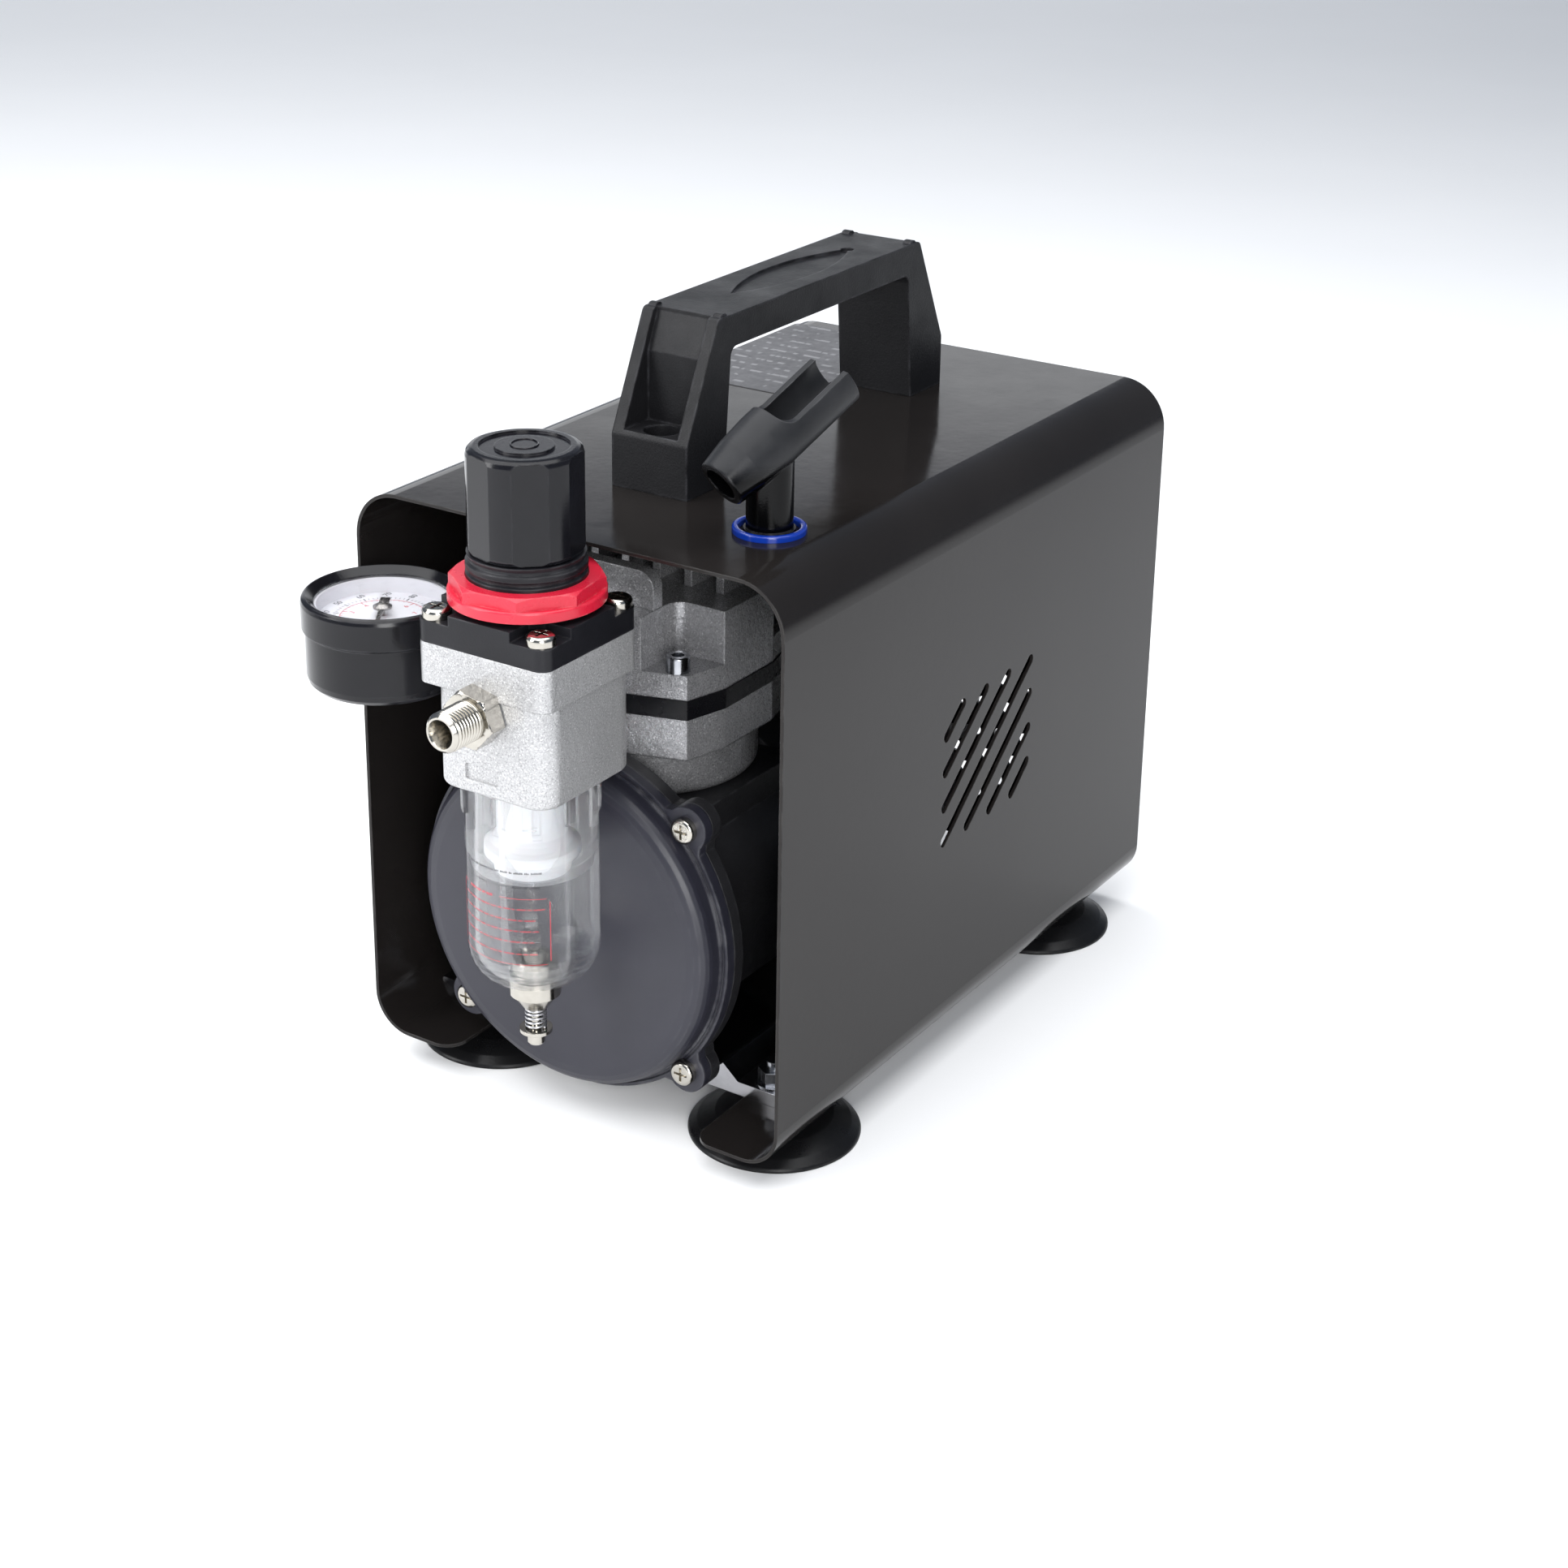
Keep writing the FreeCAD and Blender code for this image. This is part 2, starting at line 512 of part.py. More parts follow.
def cylinder_head():
    """Head casting: flange, raised block with a bolt pocket at each corner, fins and outlet boss."""
    flange = head_outline(PLATE_TOP, HEAD_FLANGE_TOP)
    block = head_outline(HEAD_FLANGE_TOP - 1, HEAD_TOP)
    for sx in (-1, 1):
        for sy in (-1, 1):
            x0, x1 = sorted((PUMP_X + sx * 19.5, PUMP_X + sx * 60))
            y0, y1 = sorted((CYL_Y + sy * 14.5, CYL_Y + sy * 60))
            block = block.cut(rounded_block(x0, x1, y0, y1, HEAD_FLANGE_TOP, HEAD_TOP + 1, 6.0))
    boss = rounded_block(REG_X - 13, REG_X + 8, REG_BACK, CYL_Y, PLATE_TOP + 1.5, 176.0, 3.0, Y)
    fins = [rounded_block(PUMP_X + 15.5 + dx - 1.5, PUMP_X + 15.5 + dx + 1.5, CYL_Y - 2, CYL_Y + 22,
                          HEAD_TOP - 1, HEAD_TOP + 6, 1.0, Y) for dx in (-37.8, -25.2, -12.6, 0, 12.6)]
    head = fuse([flange, block, boss] + fins)
    bolts = [cyl(2.7, (x, y, PLATE_TOP - 1), Z, 10) for x, y in head_bolt_spots()]
    outlet = cyl(INLET_R, (REG_X, REG_BACK - 1, PORT_Z), Y, 20)
    passage = cyl(4.0, (REG_X, REG_BACK + 10, PORT_Z), Y, 40)
    return head.cut(bolts + [outlet, passage])


def head_bolts():
    """Four socket-head cap screws."""
    bolts = []
    for x, y in head_bolt_spots():
        head = cyl(4.0, (x, y, HEAD_FLANGE_TOP), Z, 5.4)
        rim = [e for e in head.Edges if e.CenterOfMass.z > HEAD_FLANGE_TOP + 5 and len(e.Vertexes) == 1]
        head = head.makeFillet(0.6, rim)
        head = head.cut(hexagon(4.0, (x, y, HEAD_FLANGE_TOP + 2.6), Z, 4))
        bolts.append(head.fuse(cyl(2.45, (x, y, FLANGE_Z[1] - 8), Z, HEAD_FLANGE_TOP - FLANGE_Z[1] + 8)))
    return Part.makeCompound(bolts)


def intake_filter():
    """Flat intake silencer standing on the front of the head."""
    box_top = 191.0
    shape = rounded_block(PUMP_X - 19, PUMP_X + 19.4, CYL_Y - 27, CYL_Y - 22, HEAD_TOP - 6, box_top, 6.0, Y)
    return shape.cut(box(-100, 100, -200, 100, HEAD_TOP - 20, HEAD_TOP))


# ---- running gear -------------------------------------------------------------------------------
SHAFT_R = 5.0
PIN_Z = PUMP_Z + THROW        # crank pin at top dead centre
WRIST_Z = 121.5
ROTOR_Y = (6.0, 60.0)
STATOR_R = 50.0


def motor_shaft():
    return cyl(SHAFT_R, (PUMP_X, -30.0, PUMP_Z), Y, 158.0)


def crank():
    """Crank disc with counterweight and the pin that the rod runs on."""
    disc = turned_y([(0, -34.0), (24.0, -34.0), (24.0, -30.0), (0, -30.0)], PUMP_X, PUMP_Z)
    weight = tube(29.0, 12.0, (PUMP_X, -34.0, PUMP_Z), Y, 9.0)
    weight = weight.cut(box(-100, 100, -60, 0, PUMP_Z - 4, 200))
    hub = cyl(10.0, (PUMP_X, -30.0, PUMP_Z), Y, 6.0)
    pin = cyl(5.0, (PUMP_X, -46.0, PIN_Z), Y, 12.5)
    return fuse([disc, weight, hub, pin]).cut(cyl(SHAFT_R, (PUMP_X, -30.0, PUMP_Z), Y, 20.0))


def connecting_rod():
    """Rod with a bored big end and a small end; it keeps upright as the crank turns."""
    y0, width = CYL_Y - 4.5, 9.0
    big = cyl(11.0, (PUMP_X, y0, PIN_Z), Y, width)
    small = cyl(6.5, (PUMP_X, y0, WRIST_Z), Y, width)
    shank = box(PUMP_X - 4, PUMP_X + 4, CYL_Y - 3, CYL_Y + 3, PIN_Z + 5, WRIST_Z - 2)
    rod = fuse([big, small, shank])
    pin_bore = cyl(5.05, (PUMP_X, y0 - 1, PIN_Z), Y, width + 2)
    wrist_bore = cyl(3.0, (PUMP_X, y0 - 1, WRIST_Z), Y, width + 2)
    return rod.cut([pin_bore, wrist_bore])


def wrist_pin():
    return cyl(3.0, (PUMP_X, CYL_Y - 10.0, WRIST_Z), Y, 20.0)


def piston():
    """Trunk piston, hollow so that the rod end can orbit inside it."""
    skirt, crown, inside = 118.0, 144.4, 141.0
    body = cyl(BORE_R - 0.05, (PUMP_X, CYL_Y, skirt), Z, crown - skirt)
    grooves = [tube(BORE_R + 1, BORE_R - 0.8, (PUMP_X, CYL_Y, z), Z, 1.2) for z in (136.0, 139.6)]
    return body.cut([cyl(14.2, (PUMP_X, CYL_Y, skirt - 1), Z, inside - skirt + 1)] + grooves)


def rotor_core():
    y0, y1 = ROTOR_Y
    core = tube(24.6, SHAFT_R, (PUMP_X, y0, PUMP_Z), Y, y1 - y0)
    rings = [tube(23.0, 15.0, (PUMP_X, y, PUMP_Z), Y, 4.0) for y in (y0 - 4.0, y1)]
    return fuse([core] + rings)


def cooling_fan():
    """Radial fan behind the motor."""
    y0 = 92.0
    hub = tube(13.0, SHAFT_R, (PUMP_X, y0, PUMP_Z), Y, 22.0)
    plate = tube(41.0, SHAFT_R, (PUMP_X, y0, PUMP_Z), Y, 2.0)
    blades = []
    for i in range(9):
        blade = box(PUMP_X - 0.9, PUMP_X + 0.9, y0, y0 + 20.0, PUMP_Z + 12.0, PUMP_Z + 41.0)
        blade.rotate(V(PUMP_X, y0, PUMP_Z), Y, i * 40.0)
        blades.append(blade)
    return fuse([hub, plate] + blades).cut(cyl(SHAFT_R, (PUMP_X, y0 - 1, PUMP_Z), Y, 30.0))


def stator_core():
    """Laminated stack; its slots are taken as filled by the windings' outer form."""
    y0, y1 = CRANKCASE_REAR + 16.0, ROTOR_Y[1] + 2.0
    stack = tube(STATOR_R, 25.1, (PUMP_X, y0, PUMP_Z), Y, y1 - y0)
    keys = []
    for ux, uz in ((1, 0), (0, 1), (-1, 0), (0, -1)):
        keys.append(cyl(2.5, (PUMP_X + STATOR_R * ux, y0 - 1, PUMP_Z + STATOR_R * uz), Y, y1 - y0 + 2))
    return stack.cut(keys)


def stator_windings():
    """Front and rear end turns."""
    y0, y1 = CRANKCASE_REAR + 16.0, ROTOR_Y[1] + 2.0
    rings = []
    for a, b in ((y0 - 10.0, y0), (y1, y1 + 11.0)):
        ring = tube(42.0, 28.0, (PUMP_X, a, PUMP_Z), Y, b - a)
        rings.append(ring.makeFillet(3.5, [e for e in ring.Edges if len(e.Vertexes) == 1]))
    return Part.makeCompound(rings)


def motor_end_bell():
    """Rear bearing shield with cooling windows and rear feet."""
    y0, y1 = ROTOR_Y[1] + 2.0, ROTOR_Y[1] + 22.0
    cup = tube(STATOR_R, 46.0, (PUMP_X, y0, PUMP_Z), Y, y1 - y0)
    wall = cyl(STATOR_R, (PUMP_X, y1 - 4.0, PUMP_Z), Y, 4.0)
    hub = cyl(14.0, (PUMP_X, y1 - 8.0, PUMP_Z), Y, 14.0)
    feet = [box(PUMP_X + sx * PAD_DX - 9, PUMP_X + sx * PAD_DX + 9, PAD_Y[1] - 3, PAD_Y[1] + 16, PAD_TOP, 36)
            for sx in (-1, 1)]
    feet = [f.cut(cyl(STATOR_R - 1, (PUMP_X, y0 - 10, PUMP_Z), Y, 60)) for f in feet]
    windows = []
    for i in range(8):
        spot = cyl(7.0, (PUMP_X + 30.0, y1 - 6, PUMP_Z), Y, 10)
        spot.rotate(V(PUMP_X, 0, PUMP_Z), Y, 22.5 + i * 45.0)
        windows.append(spot)
    return fuse([cup, wall, hub] + feet).cut(windows + [cyl(SHAFT_R + 0.05, (PUMP_X, y0, PUMP_Z), Y, 40)])


# ---- regulator ----------------------------------------------------------------------------------
REG_FRONT = REG_Y - 24.2
REG_BACK = REG_Y + 23.8
INLET_R = 6.5
BOWL_SOCKET_R = 20.2
NIPPLE_R = 6.58               # quarter-inch pipe thread


def inlet_nipple():
    """Short threaded nipple that joins the head's outlet to the regulator."""
    y0, y1 = REG_BACK - 9.0, REG_BACK + 9.0
    return tube(INLET_R, 3.5, (REG_X, y0, PORT_Z), Y, y1 - y0)


def regulator_body():
    """Die-cast body: wide upper block, narrower lower block with large corner radii."""
    z0, z1 = BODY_Z
    upper = rounded_block(REG_X - 25.0, REG_X + 25.0, REG_FRONT, REG_BACK, 171.5, z1, 4.0)
    lower = rounded_block(REG_X - 20.0, REG_X + 24.0, REG_FRONT + 0.5, REG_BACK - 0.5, z0, 173.0, 8.0)
    rim = [e for e in lower.Edges if abs(e.CenterOfMass.z - z0) < 0.01]
    lower = lower.makeFillet(2.0, rim)
    body = upper.fuse(lower)
    cutters = [cyl(BOWL_SOCKET_R, (REG_X, REG_Y, z0 - 1), Z, 13.5),
               cyl(17.0, (REG_X, REG_Y, z1 - 9), Z, 10),
               cyl(INLET_R, (REG_X, REG_BACK - 9.0, PORT_Z), Y, 12),
               cyl(NIPPLE_R, (REG_X, REG_FRONT - 1, PORT_Z), Y, 10),
               cyl(3.3, (REG_X, REG_FRONT + 5, PORT_Z), Y, 35),
               cyl(GAUGE_STEM_R, (REG_X - 30, REG_Y, PORT_Z), X, 18),
               rounded_block(REG_X - 7.0, REG_X + 5.5, REG_FRONT - 1, REG_FRONT + 1.3, 143.0, 148.2, 0.8, Y)]
    cutters += [cyl(2.05, (x, y, z1 - 10), Z, 11) for x, y in bonnet_screw_spots()]
    return body.cut(cutters)


def bonnet_screw_spots():
    return [(REG_X + sx * 20.0, REG_Y + sy * 19.3) for sy in (-1, 1) for sx in (-1, 1)]


BONNET_POCKET_Z = 192.2
NECK_TOP = 212.4
CHAMBER_TOP = 208.0


def bonnet():
    """Black bonnet: square plate with a screw pocket at each corner and a threaded neck."""
    z0, z1 = BONNET_Z
    plate = rounded_block(REG_X - 25.0, REG_X + 25.0, REG_FRONT, REG_BACK, z0, z1, 4.0)
    for x, y in bonnet_screw_spots():
        sx, sy = math.copysign(1, x - REG_X), math.copysign(1, y - REG_Y)
        x0, x1 = sorted((x - sx * 8.2, x + sx * 30))
        y0, y1 = sorted((y - sy * 8.2, y + sy * 30))
        plate = plate.cut(box(x0, x1, y0, y1, BONNET_POCKET_Z, z1 + 1))
    neck = turned([(0, z1 - 2), (18.9, z1 - 2), (18.9, 206.0), (18.0, 206.6), (18.0, 207.4), (18.9, 208.0),
                   (18.9, 209.6), (18.0, 210.2), (18.0, 211.0), (18.5, NECK_TOP), (0, NECK_TOP)],
                  REG_X, REG_Y)
    chamber = cyl(14.5, (REG_X, REG_Y, z0 - 1), Z, CHAMBER_TOP - z0 + 1)
    spindle = cyl(SPINDLE_R + 0.05, (REG_X, REG_Y, 202), Z, 20)
    screws = [cyl(2.2, (x, y, z0 - 1), Z, 12) for x, y in bonnet_screw_spots()]
    return plate.fuse(neck).cut([chamber, spindle] + screws)


def bonnet_screws():
    screw = pan_head_screw(4.7, 3.4, 2.0, 12.0)
    return Part.makeCompound([placed(screw, (x, y, BONNET_POCKET_Z), Z) for x, y in bonnet_screw_spots()])


RING_Z = (197.3, 200.9, 205.0)
RING_R = 24.7


def ring_nut():
    """Red eight-sided panel nut on a round flange."""
    z0, z1, z2 = RING_Z
    flange = cyl(RING_R, (REG_X, REG_Y, z0), Z, z1 - z0)
    upper_rim = [e for e in flange.Edges if len(e.Vertexes) == 1 and e.CenterOfMass.z > z1 - 0.1]
    flange = flange.makeFillet(0.8, upper_rim)
    octagon = hexagon(45.2, (REG_X, REG_Y, z1 - 0.5), Z, z2 - z1 + 0.5, 8)
    octagon.rotate(V(REG_X, REG_Y, 0), Z, 7.5)
    crown = turned([(0, z1 - 1), (RING_R, z1 - 1), (RING_R, z2 - 1.2), (RING_R - 1.8, z2), (0, z2)],
                   REG_X, REG_Y)
    return flange.fuse(octagon.common(crown)).cut(cyl(19.0, (REG_X, REG_Y, z0 - 1), Z, 20))


SPINDLE_R = 4.0
KNOB_Z = (212.8, 245.8)
KNOB_R = 18.1


def adjusting_knob():
    """Pull-up locking knob with shallow grip flats and a ringed top."""
    z0, z1 = KNOB_Z
    r = KNOB_R
    rounding = [(r, z1 - 2.4), (r - 0.4, z1 - 1.1), (r - 1.2, z1 - 0.3), (r - 2.4, z1)]
    body = turned([(0, z0), (r - 0.6, z0), (r, z0 + 1.2)] + rounding + [(0, z1)], REG_X, REG_Y)
    flats, depth, top = 6, 0.88, z1 - 1.0
    for i in range(flats):
        flat = box(r - depth, r + 5, -9, 9, z0 - 1, top)
        flat.rotate(V(0, 0, 0), Z, i * 360.0 / flats + 12.5)
        flat.translate(V(REG_X, REG_Y, 0))
        body = body.cut(flat)
    hollow = cyl(15.4, (REG_X, REG_Y, z0 - 1), Z, z1 - z0 - 6)
    hub = cyl(7.0, (REG_X, REG_Y, z0 + 4), Z, z1 - z0 - 9)
    ring = tube(14.0, 9.2, (REG_X, REG_Y, z1 - 0.7), Z, 2)
    body = body.cut([hollow, ring]).fuse(hub)
    return body.cut(cyl(SPINDLE_R + 0.05, (REG_X, REG_Y, z0 - 1), Z, 28))


def adjusting_spindle():
    """Screw that the knob turns, with the collar that holds it under the bonnet."""
    screw = cyl(SPINDLE_R, (REG_X, REG_Y, 190.0), Z, 46.0)
    return screw.fuse(cyl(8.0, (REG_X, REG_Y, 205.4), Z, 2.3)).removeSplitter()


SEAT_Z = (197.0, 202.0)


def spring_seat():
    return tube(14.1, SPINDLE_R + 0.05, (REG_X, REG_Y, SEAT_Z[0]), Z, SEAT_Z[1] - SEAT_Z[0])


def diaphragm():
    """Rubber diaphragm with its centre plate, clamped under the bonnet."""
    disc = cyl(16.9, (REG_X, REG_Y, BONNET_Z[0] - 2.0), Z, 2.0)
    return disc.fuse(cyl(13.0, (REG_X, REG_Y, BONNET_Z[0]), Z, 1.6)).removeSplitter()


def coil(r, wire, z0, z1, pitch, x, y):
    """Open-ended helical spring between two heights, one half turn at a time."""
    turns = (z1 - z0 - wire) / pitch
    halves = max(1, round(2 * turns))
    lean = V(0, r, pitch / (2 * math.pi))
    steps = 8
    pieces = []
    for half in range(halves):
        sections = []
        for i in range(steps + 1):
            part = half + i / steps
            ring = Part.makeCircle(wire / 2, V(r, 0, 0), lean)
            section = Part.Wire([ring])
            section.rotate(V(0, 0, 0), Z, 360.0 * turns * part / halves)
            section.translate(V(x, y, z0 + wire / 2 + pitch * turns * part / halves))
            sections.append(section)
        pieces.append(Part.makeLoft(sections, True, False))
    return fuse(pieces)


def regulating_spring():
    return coil(10.5, 1.8, BONNET_Z[0] + 1.7, SEAT_Z[0] - 0.1, 2.6, REG_X, REG_Y)


HEX_LENGTH = 7.0


def outlet_nipple():
    """Nickel-plated hex nipple with a male thread and a countersunk bore."""
    hex_part = hexagon(17.0, (REG_X, REG_FRONT, PORT_Z), -Y, HEX_LENGTH)
    hex_part.rotate(V(REG_X, REG_FRONT, PORT_Z), Y, 12.0)
    chamfer = turned_y([(0, REG_FRONT + 0.1), (9.8, REG_FRONT + 0.1), (9.8, REG_FRONT - HEX_LENGTH + 1.0),
                        (8.4, REG_FRONT - HEX_LENGTH), (0, REG_FRONT - HEX_LENGTH)], REG_X, PORT_Z)
    back = REG_FRONT + 8.5
    outline = [(3.0, back), (NIPPLE_R, back), (NIPPLE_R, NIPPLE_TIP + 1.0), (NIPPLE_R - 1.0, NIPPLE_TIP),
               (4.6, NIPPLE_TIP), (3.0, NIPPLE_TIP + 4.0)]
    body = turned_y(outline, REG_X, PORT_Z)
    hex_ring = hex_part.common(chamfer).cut(cyl(4.0, (REG_X, REG_FRONT + 1, PORT_Z), -Y, 12))
    return hex_ring.fuse(body).removeSplitter()


# ---- gauge --------------------------------------------------------------------------------------
GAUGE_STEM_R = 6.0
DIAL_Z = GAUGE_TOP - 8.3          # face of the dial, deep in its white cup
DIAL_R = 21.9
GAUGE_BASE = 155.4
BEZEL_Z = 174.4
LENS_Z = GAUGE_TOP - 3.2
POINTER_REST = 33.0           # degrees from the front towards +X


def gauge_case():
    """Black gauge case with a bezel that slopes in to the lens, and a side stem into the regulator."""
    r, side, top = GAUGE_R, GAUGE_R - 1.0, GAUGE_TOP
    base = GAUGE_BASE
    outside = [(0, base), (side - 4.0, base), (side - 1.8, base + 0.7), (side - 0.5, base + 2.1),
               (side, base + 4.1), (side, BEZEL_Z), (r, BEZEL_Z + 0.8), (r, top - 2.2), (r - 0.3, top - 1.0),
               (r - 0.9, top - 0.3), (r - 1.6, top)]
    inside = [(DIAL_R, top - 2.3), (DIAL_R, DIAL_Z - 0.8), (0, DIAL_Z - 0.8)]
    case = turned(outside + inside, GAUGE_X, REG_Y)
    stem = cyl(GAUGE_STEM_R, (GAUGE_X + 20, REG_Y, PORT_Z), X, REG_X - 12 - GAUGE_X - 20 - 0.2)
    return case.fuse(stem).removeSplitter()


def gauge_dial():
    """Dial plate with the white cup wall that carries the lens."""
    plate = tube(DIAL_R - 0.05, 0.8, (GAUGE_X, REG_Y, DIAL_Z - 0.8), Z, 0.8)
    wall = tube(DIAL_R - 0.05, DIAL_R - 0.8, (GAUGE_X, REG_Y, DIAL_Z - 0.8), Z, LENS_Z - DIAL_Z + 0.7)
    return plate.fuse(wall).removeSplitter()


def gauge_pointer():
    """Pointer with a broad tail and a domed hub; at rest it lies just above zero."""
    z = DIAL_Z + 2.9
    dome = [(0, z - 0.2), (3.1, z - 0.2), (3.1, z + 0.5), (2.4, z + 0.9), (1.5, z + 1.4), (0, z + 1.6)]
    hub = turned(dome, 0, 0)
    spindle = cyl(0.75, (0, 0, DIAL_Z - 0.7), Z, 3.5)
    blade = prism([(-0.9, 0, z), (-0.6, -14.5, z), (0.6, -14.5, z), (0.9, 0, z)], V(0, 0, 0.5))
    tail = box(-1.6, 1.6, 2.0, 7.6, z, z + 0.5)
    stem = box(-0.9, 0.9, 0, 2.5, z, z + 0.5)
    pointer = fuse([hub, spindle, blade, tail, stem])
    pointer.rotate(V(0, 0, 0), Z, POINTER_REST)
    pointer.translate(V(GAUGE_X, REG_Y, 0))
    return pointer


def gauge_lens():
    return cyl(DIAL_R - 0.05, (GAUGE_X, REG_Y, LENS_Z), Z, 0.8)


# ---- filter bowl --------------------------------------------------------------------------------
BOWL_R = 21.3
BOWL_BOTTOM = 66.4
RIB_Z = (128.0, 137.8)
BOWL_TOP = 149.5


def filter_bowl():
    """Clear bowl with a threaded neck, grip ribs and a rounded bottom."""
    wall = 2.0
    arc = [(math.sin(math.radians(a)), -math.cos(math.radians(a))) for a in range(0, 91, 10)]
    r_fillet = 13.0
    outer = [(4.1, BOWL_BOTTOM)]
    outer += [(BOWL_R - r_fillet + r_fillet * s, BOWL_BOTTOM + r_fillet + r_fillet * c) for s, c in arc]
    outer += [(BOWL_R, RIB_Z[1]), (BOWL_SOCKET_R - 0.1, RIB_Z[1]), (BOWL_SOCKET_R - 0.1, BOWL_TOP)]
    r_inner = r_fillet - wall
    inner = [(BOWL_SOCKET_R - 2.4, BOWL_TOP)]
    inner += [(BOWL_R - wall - r_inner + r_inner * s, BOWL_BOTTOM + wall + r_inner + r_inner * c)
              for s, c in reversed(arc)]
    inner.append((4.1, BOWL_BOTTOM + wall))
    bowl = turned(outer + inner, REG_X, REG_Y)
    ribs = []
    for i in range(10):
        rib = box(BOWL_R - 1.0, BOWL_R + 1.3, -2.2, 2.2, *RIB_Z)
        rib = rib.makeFillet(0.6, edges_along(rib, Z, lambda c: c.x > BOWL_R))
        rib.rotate(V(0, 0, 0), Z, 18.0 + i * 36.0)
        rib.translate(V(REG_X, REG_Y, 0))
        ribs.append(rib)
    return fuse([bowl] + ribs)


def filter_element():
    """White baffle with its flared skirt above a lower cap, on the filter cartridge."""
    profile = [(0, 150.5), (13.5, 150.5), (13.5, 138.5), (11.3, 138.5), (11.3, 118.5), (13.4, 115.6),
               (15.4, 114.4), (15.4, 111.2), (12.6, 109.4), (12.2, 105.6), (0, 105.6)]
    body = turned(profile, REG_X, REG_Y)
    slots = []
    for i in range(6):
        slot = box(10.5, 12.0, -1.2, 1.2, 121.0, 134.0)
        slot.rotate(V(0, 0, 0), Z, 15.0 + i * 60.0)
        slot.translate(V(REG_X, REG_Y, 0))
        slots.append(slot)
    return body.cut(slots)


COLLAR_BOTTOM = 55.0
DRAIN_BORE_R = 1.75


def drain_collar():
    """Drain valve body: nut inside the bowl, collar and cone below it."""
    below = [(DRAIN_BORE_R, COLLAR_BOTTOM), (4.2, COLLAR_BOTTOM), (7.4, 59.6), (8.4, 60.2),
             (8.4, BOWL_BOTTOM), (4.05, BOWL_BOTTOM)]
    above = [(4.05, BOWL_BOTTOM + 2.0), (7.4, BOWL_BOTTOM + 2.0), (7.4, 72.2), (6.8, 72.8), (4.4, 72.8),
             (4.4, 71.0), (DRAIN_BORE_R, 71.0)]
    return turned(below + above, REG_X, REG_Y)


def drain_pin():
    """Push pin: tip and washer below, stem through the collar, seal disc above."""
    tip = [(0, 41.4), (2.4, 41.4), (2.9, 42.0), (2.9, 46.0), (5.4, 46.0), (5.4, 47.2)]
    stem = [(1.7, 47.2), (1.7, 71.3), (3.8, 71.3), (3.8, 72.6), (0, 72.6)]
    return turned(tip + stem, REG_X, REG_Y)


def drain_spring():
    return coil(3.2, 0.9, 47.3, COLLAR_BOTTOM - 0.1, 1.75, REG_X, REG_Y)


# ---- switch and cable inlet ---------------------------------------------------------------------
ROCKER_R = 9.0


def power_switch():
    """Switch frame and body in the rear panel."""
    y1 = PANEL_Y[1]
    blocks = []
    for grow, y_back, y_front in ((2.0, y1, y1 + 1.6), (-0.1, y1 - 20, y1 + 0.5), (-1.45, y1 - 12, y1 + 3)):
        hx, hz = (half + grow for half in SWITCH_HALF)
        x0, x1 = SWITCH_X - hx, SWITCH_X + hx
        z0, z1 = SWITCH_Z - hz, SWITCH_Z + hz
        blocks.append(rounded_block(x0, x1, y_back, y_front, z0, z1, 0.8, Y))
    bezel, body, well = blocks
    return bezel.fuse(body).cut(well)


def switch_rocker():
    """Rocker with two faces meeting at the pivot; the lower half stands proud when off."""
    y1 = PANEL_Y[1]
    pivot_y = y1 - 2.0
    face = [(-4.0, -8.6), (4.6, -8.6), (2.4, 0.0), (1.4, 8.6), (-4.0, 8.6)]
    x0 = SWITCH_X - SWITCH_HALF[0] + 1.8
    width = 2 * (SWITCH_X - x0)
    rocker = prism([(x0, pivot_y + y, SWITCH_Z + z) for y, z in face], V(width, 0, 0))
    reach = cyl(ROCKER_R, (x0, pivot_y, SWITCH_Z), X, width)
    return rocker.common(reach)


def cable_gland():
    """Strain-relief gland for the supply cable."""
    y0, y1 = PANEL_Y
    flange = cyl(9.0, (GLAND_X, y1, GLAND_Z), Y, 2.0)
    nose = Part.makeCone(7.5, 6.0, 3.8, V(GLAND_X, y1 + 2.0, GLAND_Z), Y)
    barrel = cyl(5.95, (GLAND_X, y0 - 3, GLAND_Z), Y, y1 - y0 + 3)
    nut = hexagon(15.0, (GLAND_X, y0 - 4.0, GLAND_Z), Y, 4.0)
    return fuse([flange, nose, barrel, nut]).cut(cyl(3.6, (GLAND_X, y0 - 10, GLAND_Z), Y, 30))


# ---- assembly -----------------------------------------------------------------------------------
CORNERS = {"front_left": (-1, FOOT_Y[0]), "front_right": (1, FOOT_Y[0]),
           "rear_left": (-1, FOOT_Y[1]), "rear_right": (1, FOOT_Y[1])}


def build_parts():
    makers = [housing_shell, rear_panel, carry_handle, handle_bolts, rating_label, holder_collar,
              airbrush_holder, holder_nut, base_plate, vibration_mounts, crankcase, crankcase_cover,
              cover_screws, cylinder, valve_plate, cylinder_head, head_bolts, intake_filter, piston,
              connecting_rod, wrist_pin, crank, motor_shaft, rotor_core, cooling_fan, stator_core,
              stator_windings, motor_end_bell, inlet_nipple, regulator_body, bonnet, bonnet_screws, ring_nut,
              adjusting_knob, adjusting_spindle, spring_seat, diaphragm, regulating_spring, outlet_nipple,
              gauge_case, gauge_dial, gauge_pointer, gauge_lens, filter_bowl, filter_element, drain_collar,
              drain_pin, drain_spring, power_switch, switch_rocker, cable_gland]
    parts = {maker.__name__: maker() for maker in makers}
    for name, (sx, y) in CORNERS.items():
        parts["suction_foot_" + name] = suction_foot(sx, y)
    parts["foot_studs"] = Part.makeCompound([foot_stud(sx, y) for sx, y in CORNERS.values()])
    return parts


